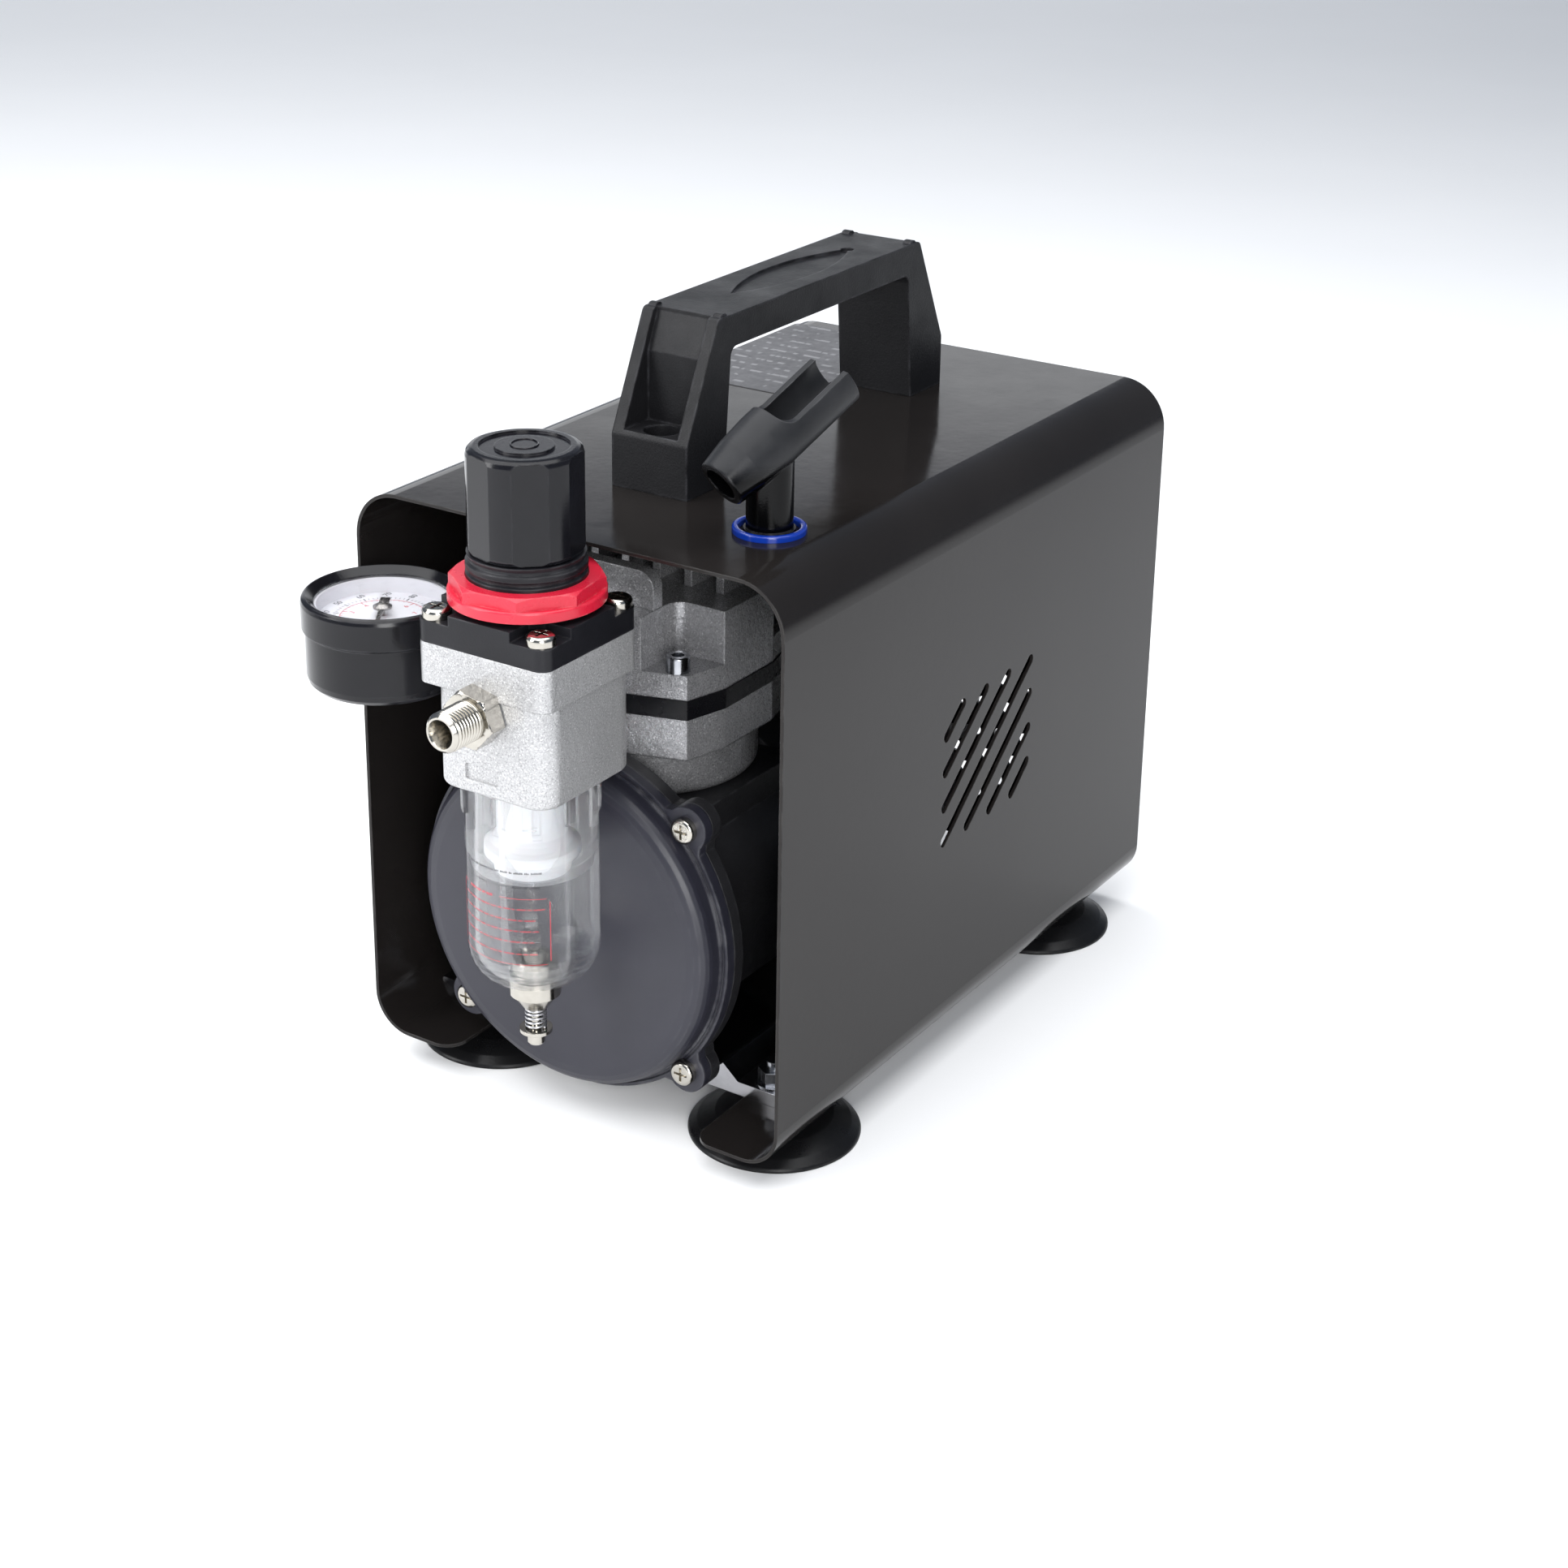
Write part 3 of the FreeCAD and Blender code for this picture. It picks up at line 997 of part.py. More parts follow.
def main():
    os.makedirs("parts", exist_ok=True)
    for name, shape in build_parts().items():
        solids = shape.Solids
        if not shape.isValid() or not solids:
            print("CHECK", name, "valid", shape.isValid(), "solids", len(solids))
        result = solids[0] if len(solids) == 1 else Part.makeCompound(solids)
        result.translate(DATUM_SHIFT)
        result.exportStep("parts/" + name + ".step")


main()
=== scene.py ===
import math

import bpy
from mathutils import Matrix, Vector


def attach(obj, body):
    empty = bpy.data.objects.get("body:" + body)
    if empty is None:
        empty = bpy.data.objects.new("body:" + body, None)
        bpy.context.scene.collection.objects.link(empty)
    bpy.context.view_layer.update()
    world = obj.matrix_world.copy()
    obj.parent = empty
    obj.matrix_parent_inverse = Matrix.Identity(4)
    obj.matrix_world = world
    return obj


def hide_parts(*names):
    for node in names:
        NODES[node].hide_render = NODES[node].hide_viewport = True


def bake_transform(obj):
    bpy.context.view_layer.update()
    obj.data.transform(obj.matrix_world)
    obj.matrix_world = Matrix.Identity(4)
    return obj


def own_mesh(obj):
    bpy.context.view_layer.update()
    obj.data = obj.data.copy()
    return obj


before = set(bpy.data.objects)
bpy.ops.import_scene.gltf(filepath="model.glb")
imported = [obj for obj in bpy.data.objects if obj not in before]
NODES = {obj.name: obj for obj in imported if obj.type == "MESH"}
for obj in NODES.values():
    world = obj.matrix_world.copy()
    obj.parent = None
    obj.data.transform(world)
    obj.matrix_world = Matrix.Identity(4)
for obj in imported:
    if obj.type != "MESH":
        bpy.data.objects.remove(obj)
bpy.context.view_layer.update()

# The airbrush compressor's looks: materials for the CAD nodes, and finer pieces for the thread, dial,
# spring, printed bowl markings and knob badge. Metres, in the CAD frame: +Z up, front towards -Y.

MM = 0.001

REG = Vector((0.0023, -0.11595, 0.0))       # regulator, knob and bowl axis
GAUGE = Vector((-0.0566, -0.11595, 0.0))    # gauge axis
PORT_Z = 0.1664                             # height of the outlet nipple's axis
HOLDER_POST_TOP = 0.2330                    # below this the holder is a plain round post
HEX_BACK = -0.14015                         # nipple's seat on the regulator
NIPPLE_TIP = -0.1594


# ---- node helpers -------------------------------------------------------------------------------
class Graph:
    """A material's node tree with short calls for the nodes used here."""

    def __init__(self, name):
        self.material = bpy.data.materials.new(name)
        self.material.use_nodes = True
        self.nodes = self.material.node_tree.nodes
        self.links = self.material.node_tree.links
        self.nodes.clear()
        self.out = self.nodes.new("ShaderNodeOutputMaterial")
        self.shader = self.nodes.new("ShaderNodeBsdfPrincipled")
        self.links.new(self.shader.outputs[0], self.out.inputs["Surface"])
        self.coord = self.nodes.new("ShaderNodeTexCoord").outputs["Object"]

    def link(self, source, target):
        self.links.new(source, target)

    def mapped(self, scale):
        node = self.nodes.new("ShaderNodeMapping")
        node.inputs["Scale"].default_value = scale
        self.link(self.coord, node.inputs["Vector"])
        return node.outputs[0]

    def noise(self, scale, detail=2.0, rough=0.5, vector=None):
        node = self.nodes.new("ShaderNodeTexNoise")
        node.inputs["Scale"].default_value = scale
        node.inputs["Detail"].default_value = detail
        node.inputs["Roughness"].default_value = rough
        self.link(vector or self.coord, node.inputs["Vector"])
        return node.outputs["Fac"]

    def remap(self, value, lo, hi, out_lo, out_hi):
        node = self.nodes.new("ShaderNodeMapRange")
        node.inputs["From Min"].default_value = lo
        node.inputs["From Max"].default_value = hi
        node.inputs["To Min"].default_value = out_lo
        node.inputs["To Max"].default_value = out_hi
        self.link(value, node.inputs["Value"])
        return node.outputs["Result"]

    def math(self, operation, a, b):
        node = self.nodes.new("ShaderNodeMath")
        node.operation = operation
        for socket, value in zip(node.inputs, (a, b)):
            if isinstance(value, (int, float)):
                socket.default_value = value
            else:
                self.link(value, socket)
        return node.outputs[0]

    def mix(self, factor, a, b):
        node = self.nodes.new("ShaderNodeMix")
        node.data_type = "RGBA"
        self.link(factor, node.inputs["Factor"])
        for name, value in (("A", a), ("B", b)):
            socket = [s for s in node.inputs if s.name == name and s.type == "RGBA"][0]
            if isinstance(value, tuple):
                socket.default_value = (*value, 1.0)
            else:
                self.link(value, socket)
        return [s for s in node.outputs if s.type == "RGBA"][0]

    def rounded_normal(self, radius):
        node = self.nodes.new("ShaderNodeBevel")
        node.samples = 3
        node.inputs["Radius"].default_value = radius
        return node.outputs["Normal"]

    def edge_mask(self, radius, spread):
        """1 on worn outer edges, 0 on flat faces, broken up by noise."""
        geometry = self.nodes.new("ShaderNodeNewGeometry")
        dot = self.nodes.new("ShaderNodeVectorMath")
        dot.operation = "DOT_PRODUCT"
        self.link(self.rounded_normal(radius), dot.inputs[0])
        self.link(geometry.outputs["Normal"], dot.inputs[1])
        edge = self.remap(dot.outputs["Value"], 0.995, 0.90, 0.0, 1.0)
        patchy = self.remap(self.noise(spread, 3.0), 0.42, 0.62, 0.0, 1.0)
        return self.math("MULTIPLY", edge, patchy)

    def bump(self, height, distance, normal=None):
        node = self.nodes.new("ShaderNodeBump")
        node.inputs["Strength"].default_value = 1.0
        node.inputs["Distance"].default_value = distance
        self.link(height, node.inputs["Height"])
        if normal is not None:
            self.link(normal, node.inputs["Normal"])
        return node.outputs["Normal"]

    def set(self, **values):
        """Constant values of the shader's own sockets."""
        names = {"metallic": "Metallic", "ior": "IOR", "coat": "Coat Weight", "coat_rough": "Coat Roughness",
                 "transmission": "Transmission Weight", "alpha": "Alpha", "specular": "Specular IOR Level",
                 "subsurface": "Subsurface Weight"}
        for key, value in values.items():
            self.shader.inputs[names[key]].default_value = value

    def finish(self, color, rough, normal):
        self.link(color, self.shader.inputs["Base Color"])
        self.link(rough, self.shader.inputs["Roughness"])
        self.link(normal, self.shader.inputs["Normal"])
        return self.material


def surface(name, base, tint, rough, grain, grain_depth, bevel=0.0004, wear=None, cloud=25.0, **sockets):
    """Painted or moulded surface: cloudy colour, uneven roughness, fine grain, rounded and worn edges."""
    g = Graph(name)
    color = g.mix(g.remap(g.noise(cloud, 4.0, 0.6), 0.35, 0.68, 0.0, 1.0), base, tint)
    smudge = g.noise(cloud * 2.4, 5.0, 0.65)
    roughness = g.remap(smudge, 0.3, 0.7, rough[0], rough[1])
    if wear is not None:
        mask = g.edge_mask(bevel * 1.6, 160.0)
        color = g.mix(mask, color, wear)
    fine = g.noise(grain, 3.0, 0.6)
    normal = g.bump(fine, grain_depth, g.rounded_normal(bevel))
    g.set(**sockets)
    return g.finish(color, roughness, normal)


def cast_paint(name, base, tint, rough, sparkle):
    """Aluminium paint on a casting: orange-peel bumps with bright and dark flakes."""
    g = Graph(name)
    flakes = g.noise(1900.0, 2.0, 0.7)
    cloud = g.mix(g.remap(g.noise(40.0, 3.0), 0.35, 0.7, 0.0, 1.0), base, tint)
    dark = g.mix(g.remap(flakes, 0.32, 0.47, 0.85, 0.0), cloud, tuple(c * 0.5 for c in base))
    color = g.mix(g.remap(flakes, 0.58, 0.72, 0.0, sparkle), dark, (0.95, 0.95, 0.96))
    roughness = g.remap(g.noise(1800.0, 2.0), 0.3, 0.7, rough[0], rough[1])
    peel = g.bump(g.noise(420.0, 2.0), 0.00022, g.rounded_normal(0.0007))
    normal = g.bump(flakes, 0.00006, peel)
    g.set(metallic=0.55, specular=0.5)
    return g.finish(color, roughness, normal)


def brushed(name, base, tint, rough, stretch, metallic=1.0, scratch=0.00002, bevel=0.0003):
    """Plated or machined metal with fine lines along one direction and faint spots."""
    g = Graph(name)
    lines = g.noise(1.0, 3.0, 0.6, g.mapped(stretch))
    spots = g.noise(90.0, 4.0, 0.7)
    color = g.mix(g.remap(spots, 0.35, 0.7, 0.0, 1.0), base, tint)
    streaks = g.remap(lines, 0.3, 0.7, rough[0], rough[1])
    roughness = g.math("ADD", streaks, g.remap(spots, 0.5, 0.75, 0.0, 0.08))
    normal = g.bump(lines, scratch, g.rounded_normal(bevel))
    g.set(metallic=metallic)
    return g.finish(color, roughness, normal)


def clear(name, color, alpha, rough, ripple=0.00003):
    """Clear polycarbonate with faint flow lines."""
    g = Graph(name)
    flow = g.noise(1.0, 3.0, 0.5, g.mapped((90.0, 90.0, 25.0)))
    tone = g.mix(g.remap(flow, 0.3, 0.7, 0.0, 1.0), color, tuple(min(1.0, c * 1.02) for c in color))
    roughness = g.remap(g.noise(260.0, 4.0, 0.7), 0.45, 0.75, rough[0], rough[1])
    normal = g.bump(flow, ripple)
    g.set(transmission=1.0, ior=1.49, alpha=alpha, specular=0.5)
    return g.finish(tone, roughness, normal)


# ---- materials ----------------------------------------------------------------------------------
def powder_coat():
    """Glossy black powder coat with faint orange peel and dust specks."""
    g = Graph("powder_coat")
    cloud = g.noise(14.0, 3.0, 0.5)
    color = g.mix(g.remap(cloud, 0.3, 0.7, 0.0, 1.0), (0.0095, 0.0082, 0.0078), (0.0120, 0.0105, 0.0100))
    specks = g.remap(g.noise(700.0, 2.0, 0.8), 0.76, 0.82, 0.0, 0.4)
    color = g.mix(specks, color, (0.14, 0.13, 0.125))
    color = g.mix(g.edge_mask(0.0006, 120.0), color, (0.045, 0.043, 0.041))
    roughness = g.remap(g.noise(55.0, 5.0, 0.6), 0.3, 0.7, 0.10, 0.17)
    peel = g.bump(g.noise(330.0, 2.0, 0.5), 0.000012, g.rounded_normal(0.0004))
    g.set(specular=0.19)
    return g.finish(color, roughness, peel)


def holder_plastic():
    """Black plastic: the post is glossy and the cradle above it satin."""
    g = Graph("holder_plastic")
    height = g.nodes.new("ShaderNodeSeparateXYZ")
    g.link(g.coord, height.inputs[0])
    satin = g.remap(height.outputs["Z"], HOLDER_POST_TOP - 0.001, HOLDER_POST_TOP + 0.004, 0.0, 1.0)
    cloud = g.remap(g.noise(60.0, 3.0), 0.35, 0.7, 0.0, 1.0)
    cradle = g.mix(cloud, (0.0130, 0.0135, 0.0150), (0.0200, 0.0205, 0.0225))
    color = g.mix(satin, (0.0010, 0.0010, 0.0012), cradle)
    color = g.mix(g.math("MULTIPLY", g.edge_mask(0.0007, 200.0), 0.7), color, (0.07, 0.07, 0.075))
    smudge = g.remap(g.noise(120.0, 4.0), 0.3, 0.7, 0.10, 0.18)
    roughness = g.math("ADD", smudge, g.math("MULTIPLY", satin, 0.22))
    fine = g.bump(g.noise(1700.0, 3.0, 0.6), 0.00003, g.rounded_normal(0.0005))
    g.set(specular=0.15)
    return g.finish(color, roughness, fine)


def stator_steel():
    """Stacked laminations, one every half millimetre along the motor."""
    g = Graph("stator_steel")
    wave = g.nodes.new("ShaderNodeTexWave")
    wave.bands_direction = "Y"
    wave.inputs["Scale"].default_value = 320.0
    g.link(g.coord, wave.inputs["Vector"])
    color = g.mix(wave.outputs["Fac"], (0.20, 0.20, 0.21), (0.36, 0.36, 0.37))
    roughness = g.remap(g.noise(80.0, 4.0), 0.3, 0.7, 0.35, 0.55)
    g.set(metallic=0.9)
    return g.finish(color, roughness, g.bump(wave.outputs["Fac"], 0.0001))


def copper_wire():
    """Wound enamelled wire: fine strands across the coil."""
    g = Graph("copper_wire")
    strands = g.noise(1.0, 2.0, 0.5, g.mapped((1800.0, 500.0, 1800.0)))
    color = g.mix(g.remap(strands, 0.3, 0.7, 0.0, 1.0), (0.36, 0.12, 0.05), (0.70, 0.30, 0.14))
    roughness = g.remap(strands, 0.3, 0.7, 0.25, 0.45)
    g.set(metallic=0.9)
    return g.finish(color, roughness, g.bump(strands, 0.0003))


def label_sheet():
    """Blank plate with rows of short generic dashes."""
    g = Graph("label_sheet")
    rows = g.nodes.new("ShaderNodeTexWave")
    rows.bands_direction = "Y"
    rows.inputs["Scale"].default_value = 45.0
    g.link(g.coord, rows.inputs["Vector"])
    dashes = g.noise(1.0, 0.0, 0.5, g.mapped((420.0, 130.0, 1.0)))
    lines = g.remap(rows.outputs["Fac"], 0.80, 0.88, 0.0, 1.0)
    ink = g.math("MULTIPLY", lines, g.remap(dashes, 0.52, 0.55, 0.0, 0.4))
    cloud = g.mix(g.remap(g.noise(50.0), 0.3, 0.7, 0.0, 1.0), (0.060, 0.060, 0.064), (0.075, 0.075, 0.080))
    color = g.mix(ink, cloud, (0.30, 0.30, 0.31))
    roughness = g.remap(g.noise(300.0, 4.0), 0.3, 0.7, 0.36, 0.5)
    g.set(specular=0.35)
    return g.finish(color, roughness, g.bump(g.noise(900.0), 0.00001))


# Painted, moulded and printed materials.
SURFACES = {
    "handle": dict(name="handle_plastic", base=(0.0060, 0.0060, 0.0068), tint=(0.0100, 0.0100, 0.0112),
                   rough=(0.34, 0.48), grain=1500.0, grain_depth=0.00009, bevel=0.0008,
                   wear=(0.040, 0.040, 0.045), specular=0.15),
    "gloss_black": dict(name="gloss_black", base=(0.0040, 0.0040, 0.0054), tint=(0.0070, 0.0070, 0.0088),
                        rough=(0.13, 0.21), grain=1400.0, grain_depth=0.00002, bevel=0.0005,
                        wear=(0.045, 0.045, 0.050), specular=0.26),
    "bonnet_black": dict(name="bonnet_black", base=(0.0060, 0.0060, 0.0078),
                         tint=(0.0100, 0.0100, 0.0125), rough=(0.30, 0.44), grain=1500.0,
                         grain_depth=0.00005, bevel=0.0005, wear=(0.055, 0.055, 0.060), specular=0.22),
    "blue": dict(name="blue_gloss", base=(0.004, 0.035, 0.33), tint=(0.003, 0.026, 0.25),
                 rough=(0.14, 0.22), grain=900.0, grain_depth=0.00001, bevel=0.0004, coat=0.2,
                 coat_rough=0.08),
    "red": dict(name="red_gloss", base=(0.52, 0.014, 0.036), tint=(0.44, 0.010, 0.028),
                rough=(0.24, 0.34), grain=1100.0, grain_depth=0.00002, bevel=0.0004,
                wear=(0.70, 0.12, 0.14), specular=0.45),
    "slate": dict(name="slate_paint", base=(0.016, 0.016, 0.024), tint=(0.021, 0.021, 0.030),
                  rough=(0.36, 0.46), grain=1300.0, grain_depth=0.00003, bevel=0.0008,
                  wear=(0.09, 0.09, 0.10), cloud=18.0, specular=0.4),
    "crankcase": dict(name="crankcase_paint", base=(0.010, 0.010, 0.0115), tint=(0.017, 0.017, 0.019),
                      rough=(0.34, 0.48), grain=900.0, grain_depth=0.00012, bevel=0.0008,
                      wear=(0.07, 0.07, 0.075)),
    "valve_black": dict(name="valve_black", base=(0.004, 0.004, 0.005), tint=(0.007, 0.007, 0.008),
                        rough=(0.22, 0.32), grain=900.0, grain_depth=0.00002, specular=0.18),
    "rubber": dict(name="black_rubber", base=(0.0040, 0.0040, 0.0044), tint=(0.0075, 0.0075, 0.0082),
                   rough=(0.24, 0.42), grain=900.0, grain_depth=0.00004, bevel=0.0006,
                   wear=(0.030, 0.030, 0.030), specular=0.2),
    "white": dict(name="white_plastic", base=(0.62, 0.63, 0.64), tint=(0.56, 0.57, 0.59),
                  rough=(0.30, 0.42), grain=1200.0, grain_depth=0.00002, bevel=0.0005, subsurface=0.1),
    "grey": dict(name="grey_plastic", base=(0.10, 0.10, 0.105), tint=(0.14, 0.14, 0.145),
                 rough=(0.35, 0.5), grain=1300.0, grain_depth=0.00003),
    "dial": dict(name="dial_face", base=(0.62, 0.62, 0.65), tint=(0.57, 0.57, 0.61), rough=(0.45, 0.6),
                 grain=1500.0, grain_depth=0.00001),
    "ink": dict(name="black_ink", base=(0.012, 0.012, 0.014), tint=(0.022, 0.022, 0.026),
                rough=(0.5, 0.65), grain=2200.0, grain_depth=0.00001),
    "red_ink": dict(name="red_ink", base=(0.60, 0.035, 0.055), tint=(0.48, 0.028, 0.045),
                    rough=(0.5, 0.65), grain=2200.0, grain_depth=0.00001),
}

# Bare and plated metals.
METALS = {
    "zinc": dict(name="zinc_plate", base=(0.44, 0.44, 0.46), tint=(0.36, 0.36, 0.38), rough=(0.16, 0.24),
                 stretch=(60.0, 60.0, 60.0), scratch=0.000002),
    "zinc_screw": dict(name="zinc_screw", base=(0.42, 0.43, 0.45), tint=(0.32, 0.33, 0.36),
                       rough=(0.16, 0.26), stretch=(900.0, 900.0, 200.0), scratch=0.000005),
    "nickel": dict(name="nickel", base=(0.46, 0.44, 0.40), tint=(0.38, 0.36, 0.32), rough=(0.12, 0.22),
                   stretch=(1400.0, 300.0, 1400.0), scratch=0.000006, bevel=0.0002),
    "steel": dict(name="bright_steel", base=(0.56, 0.56, 0.57), tint=(0.45, 0.45, 0.47),
                  rough=(0.22, 0.36), stretch=(900.0, 120.0, 900.0), scratch=0.00001),
    "aluminium": dict(name="bare_aluminium", base=(0.66, 0.66, 0.68), tint=(0.55, 0.55, 0.57),
                      rough=(0.28, 0.42), stretch=(500.0, 500.0, 60.0)),
    "pointer": dict(name="pointer_metal", base=(0.22, 0.21, 0.20), tint=(0.30, 0.29, 0.28),
                    rough=(0.20, 0.32), stretch=(900.0, 300.0, 900.0), scratch=0.000004),
}

# Painted castings.
CASTINGS = {
    "silver": dict(name="silver_cast", base=(0.43, 0.43, 0.435), tint=(0.38, 0.38, 0.385),
                   rough=(0.32, 0.46), sparkle=0.6),
    # Same silver paint, darker: painted shade for the cylinder, head and intake filter inside the housing,
    # under its top.
    "silver_painted_shade": dict(name="silver_painted_shade", base=(0.30, 0.30, 0.31), tint=(0.25, 0.25, 0.26),
                            rough=(0.24, 0.36), sparkle=0.7),
}

# Clear plastics.
CLEARS = {
    "clear": dict(name="clear_bowl", color=(0.97, 0.98, 0.99), alpha=0.34, rough=(0.0, 0.008),
                  ripple=0.000006),
    "lens": dict(name="gauge_lens", color=(0.98, 0.985, 0.99), alpha=0.12, rough=(0.0, 0.03),
                 ripple=0.00001),
}


def make_materials():
    """Every material by its short name."""
    m = {key: surface(**values) for key, values in SURFACES.items()}
    m.update({key: brushed(**values) for key, values in METALS.items()})
    m.update({key: cast_paint(**values) for key, values in CASTINGS.items()})
    m.update({key: clear(**values) for key, values in CLEARS.items()})
    m["powder_coat"] = powder_coat()
    m["holder"] = holder_plastic()
    m["stator"] = stator_steel()
    m["copper"] = copper_wire()
    m["label"] = label_sheet()
    return m


NODE_MATERIALS = {
    "powder_coat": ("housing_shell", "rear_panel"),
    "handle": ("carry_handle", "cable_gland"),
    "holder": ("airbrush_holder",),
    "gloss_black": ("adjusting_knob", "gauge_case", "power_switch", "switch_rocker"),
    "bonnet_black": ("bonnet",),
    "blue": ("holder_collar",),
    "red": ("ring_nut",),
    "slate": ("crankcase_cover",),
    "crankcase": ("crankcase",),
    "valve_black": ("valve_plate",),
    "silver": ("regulator_body",),
    # The darker silver copy is painted shade on the parts inside the housing, under its top.
    "silver_painted_shade": ("cylinder", "cylinder_head", "intake_filter"),
    "zinc": ("base_plate",),
    "zinc_screw": ("handle_bolts", "head_bolts", "foot_studs", "holder_nut", "spring_seat"),
    "nickel": ("cover_screws", "bonnet_screws", "outlet_nipple", "inlet_nipple", "drain_collar", "drain_pin",
               "adjusting_spindle"),
    "steel": ("wrist_pin", "crank", "motor_shaft", "regulating_spring", "drain_spring"),
    "aluminium": ("piston", "connecting_rod", "rotor_core", "motor_end_bell"),
    "stator": ("stator_core",),
    "copper": ("stator_windings",),
    "rubber": ("suction_foot_front_left", "suction_foot_front_right", "suction_foot_rear_left",
               "suction_foot_rear_right", "vibration_mounts", "diaphragm"),
    "white": ("filter_element",),
    "grey": ("cooling_fan",),
    "pointer": ("gauge_pointer",),
    "dial": ("gauge_dial",),
    "label": ("rating_label",),
    "clear": ("filter_bowl",),
    "lens": ("gauge_lens",),
}


def dress_nodes(m):
    """Give each CAD node its material."""
    for key, names in NODE_MATERIALS.items():
        for name in names:
            mesh = NODES[name].data
            mesh.materials.clear()
            mesh.materials.append(m[key])


# ---- mesh helpers -------------------------------------------------------------------------------
def piece(name, verts, faces, material, body, smooth=True):
    """New mesh object that rides a body, or none."""
    mesh = bpy.data.meshes.new(name)
    mesh.from_pydata([tuple(v) for v in verts], [], faces)
    mesh.validate()
    mesh.materials.append(material)
    if smooth:
        mesh.shade_smooth()
    obj = bpy.data.objects.new(name, mesh)
    bpy.context.scene.collection.objects.link(obj)
    if body is not None:
        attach(obj, body)
    return obj


def rings_to_faces(rings, around, closed_along=False):
    """Quads between successive rings of points."""
    faces = []
    last = rings if closed_along else rings - 1
    for i in range(last):
        a, b = i * around, ((i + 1) % rings) * around
        for j in range(around):
            k = (j + 1) % around
            faces.append((a + j, a + k, b + k, b + j))
    return faces


# ---- outlet nipple ------------------------------------------------------------------------------
HEX_HALF = 8.5 * MM                         # half the hexagon's width across flats
HEX_FRONT = HEX_BACK - 7.0 * MM
HEX_TURN = math.radians(12.0)
THREAD_CREST, THREAD_DEPTH, THREAD_PITCH = 6.55 * MM, 1.0 * MM, 1.337 * MM
TIP_RADIUS, TIP_LENGTH = 5.3 * MM, 1.5 * MM
SINK_RADIUS, SINK_DEPTH, BORE_RADIUS = 4.7 * MM, 3.4 * MM, 3.0 * MM


def nipple_radius(y, turn):
    """Outside radius at a station y and an angle about the nipple's axis."""
    if y > HEX_FRONT - 1e-7:
        flat = HEX_HALF / math.cos((turn + HEX_TURN) % (math.pi / 3) - math.pi / 6)
        return min(flat, HEX_HALF + (y - HEX_FRONT) / math.tan(math.radians(30.0)) + 0.2 * MM)
    nose = min(1.0, (y - NIPPLE_TIP) / TIP_LENGTH)
    run_in = max(0.0, (y - NIPPLE_TIP - 1.0 * MM) / (0.8 * MM))
    run_out = (HEX_FRONT - y) / (1.0 * MM)
    phase = (y / THREAD_PITCH + turn / (2 * math.pi)) % 1.0
    groove = abs(2 * phase - 1) ** 1.3
    crest = TIP_RADIUS + (THREAD_CREST - TIP_RADIUS) * nose
    return crest - THREAD_DEPTH * groove * min(1.0, run_in, run_out)


def outlet_nipple(material):
    """Hexagon with chamfered corners, a helical thread and a countersunk bore."""
    around = 144
    stations = [HEX_BACK, HEX_BACK - 3.5 * MM]
    stations += [HEX_FRONT + d * MM for d in (1.6, 1.2, 0.8, 0.4, 0.0)]
    y = HEX_FRONT - 0.02 * MM
    while y > NIPPLE_TIP:
        stations.append(y)
        y -= THREAD_PITCH / 10
    stations.append(NIPPLE_TIP)
    bore = [(SINK_RADIUS, NIPPLE_TIP), (BORE_RADIUS, NIPPLE_TIP + SINK_DEPTH),
            (BORE_RADIUS, HEX_BACK - 1 * MM), (BORE_RADIUS, HEX_BACK)]
    verts = []
    for y in stations:
        for j in range(around):
            turn = 2 * math.pi * j / around
            r = nipple_radius(y, turn)
            verts.append((REG.x + r * math.cos(turn), y, PORT_Z + r * math.sin(turn)))
    for r, y in bore:
        for j in range(around):
            turn = 2 * math.pi * j / around
            verts.append((REG.x + r * math.cos(turn), y, PORT_Z + r * math.sin(turn)))
    rings = len(stations) + len(bore)
    faces = rings_to_faces(rings, around, closed_along=True)
    obj = piece("nipple_thread", verts, faces, material, "chassis")
    obj.data.set_sharp_from_angle(angle=math.radians(38))
    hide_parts("outlet_nipple")


# ---- springs ------------------------------------------------------------------------------------
def coil(name, axis, radius, wire, low, high, turns, closed_turns, material, body):
    """Helical spring whose end turns close up flat."""
    steps, around = 28, 12
    total = turns + 2 * closed_turns
    rise = high - low - wire * (1 + 2 * closed_turns)
    verts = []
    count = int(total * steps)
    for i in range(count + 1):
        t = i / steps
        if t < closed_turns:
            z = low + wire / 2 + wire * t
        elif t > total - closed_turns:
            z = high - wire / 2 - wire * (total - t)
        else:
            z = low + wire / 2 + wire * closed_turns + rise * (t - closed_turns) / turns
        a = 2 * math.pi * t
        out = Vector((math.cos(a), math.sin(a), 0))
        centre = axis + out * radius + Vector((0, 0, z))
        for j in range(around):
            b = 2 * math.pi * j / around
            verts.append(centre + out * (wire / 2 * math.cos(b)) + Vector((0, 0, wire / 2 * math.sin(b))))
    faces = rings_to_faces(count + 1, around)
    faces.append(tuple(range(around - 1, -1, -1)))
    faces.append(tuple(count * around + j for j in range(around)))
    return piece(name, verts, faces, material, body)


def drain_spring(material):
    """Short coil spring on the drain's axis, in place of the CAD drain spring."""
    obj = coil("drain_spring_coil", REG, 3.2 * MM, 0.85 * MM, 47.25 * MM, 54.95 * MM, 3.6, 0.8, material,
               "chassis")
    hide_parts("drain_spring")
    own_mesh(obj)


def regulating_spring(material):
    """Spring standing on the diaphragm and reaching up to the spring seat, in place of the CAD spring."""
    low, high = 186.75 * MM, 196.85 * MM
    obj = coil("regulating_spring_coil", REG, 10.5 * MM, 1.8 * MM, low, high, 2.2, 0.5, material, None)
    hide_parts("regulating_spring")
    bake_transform(obj)


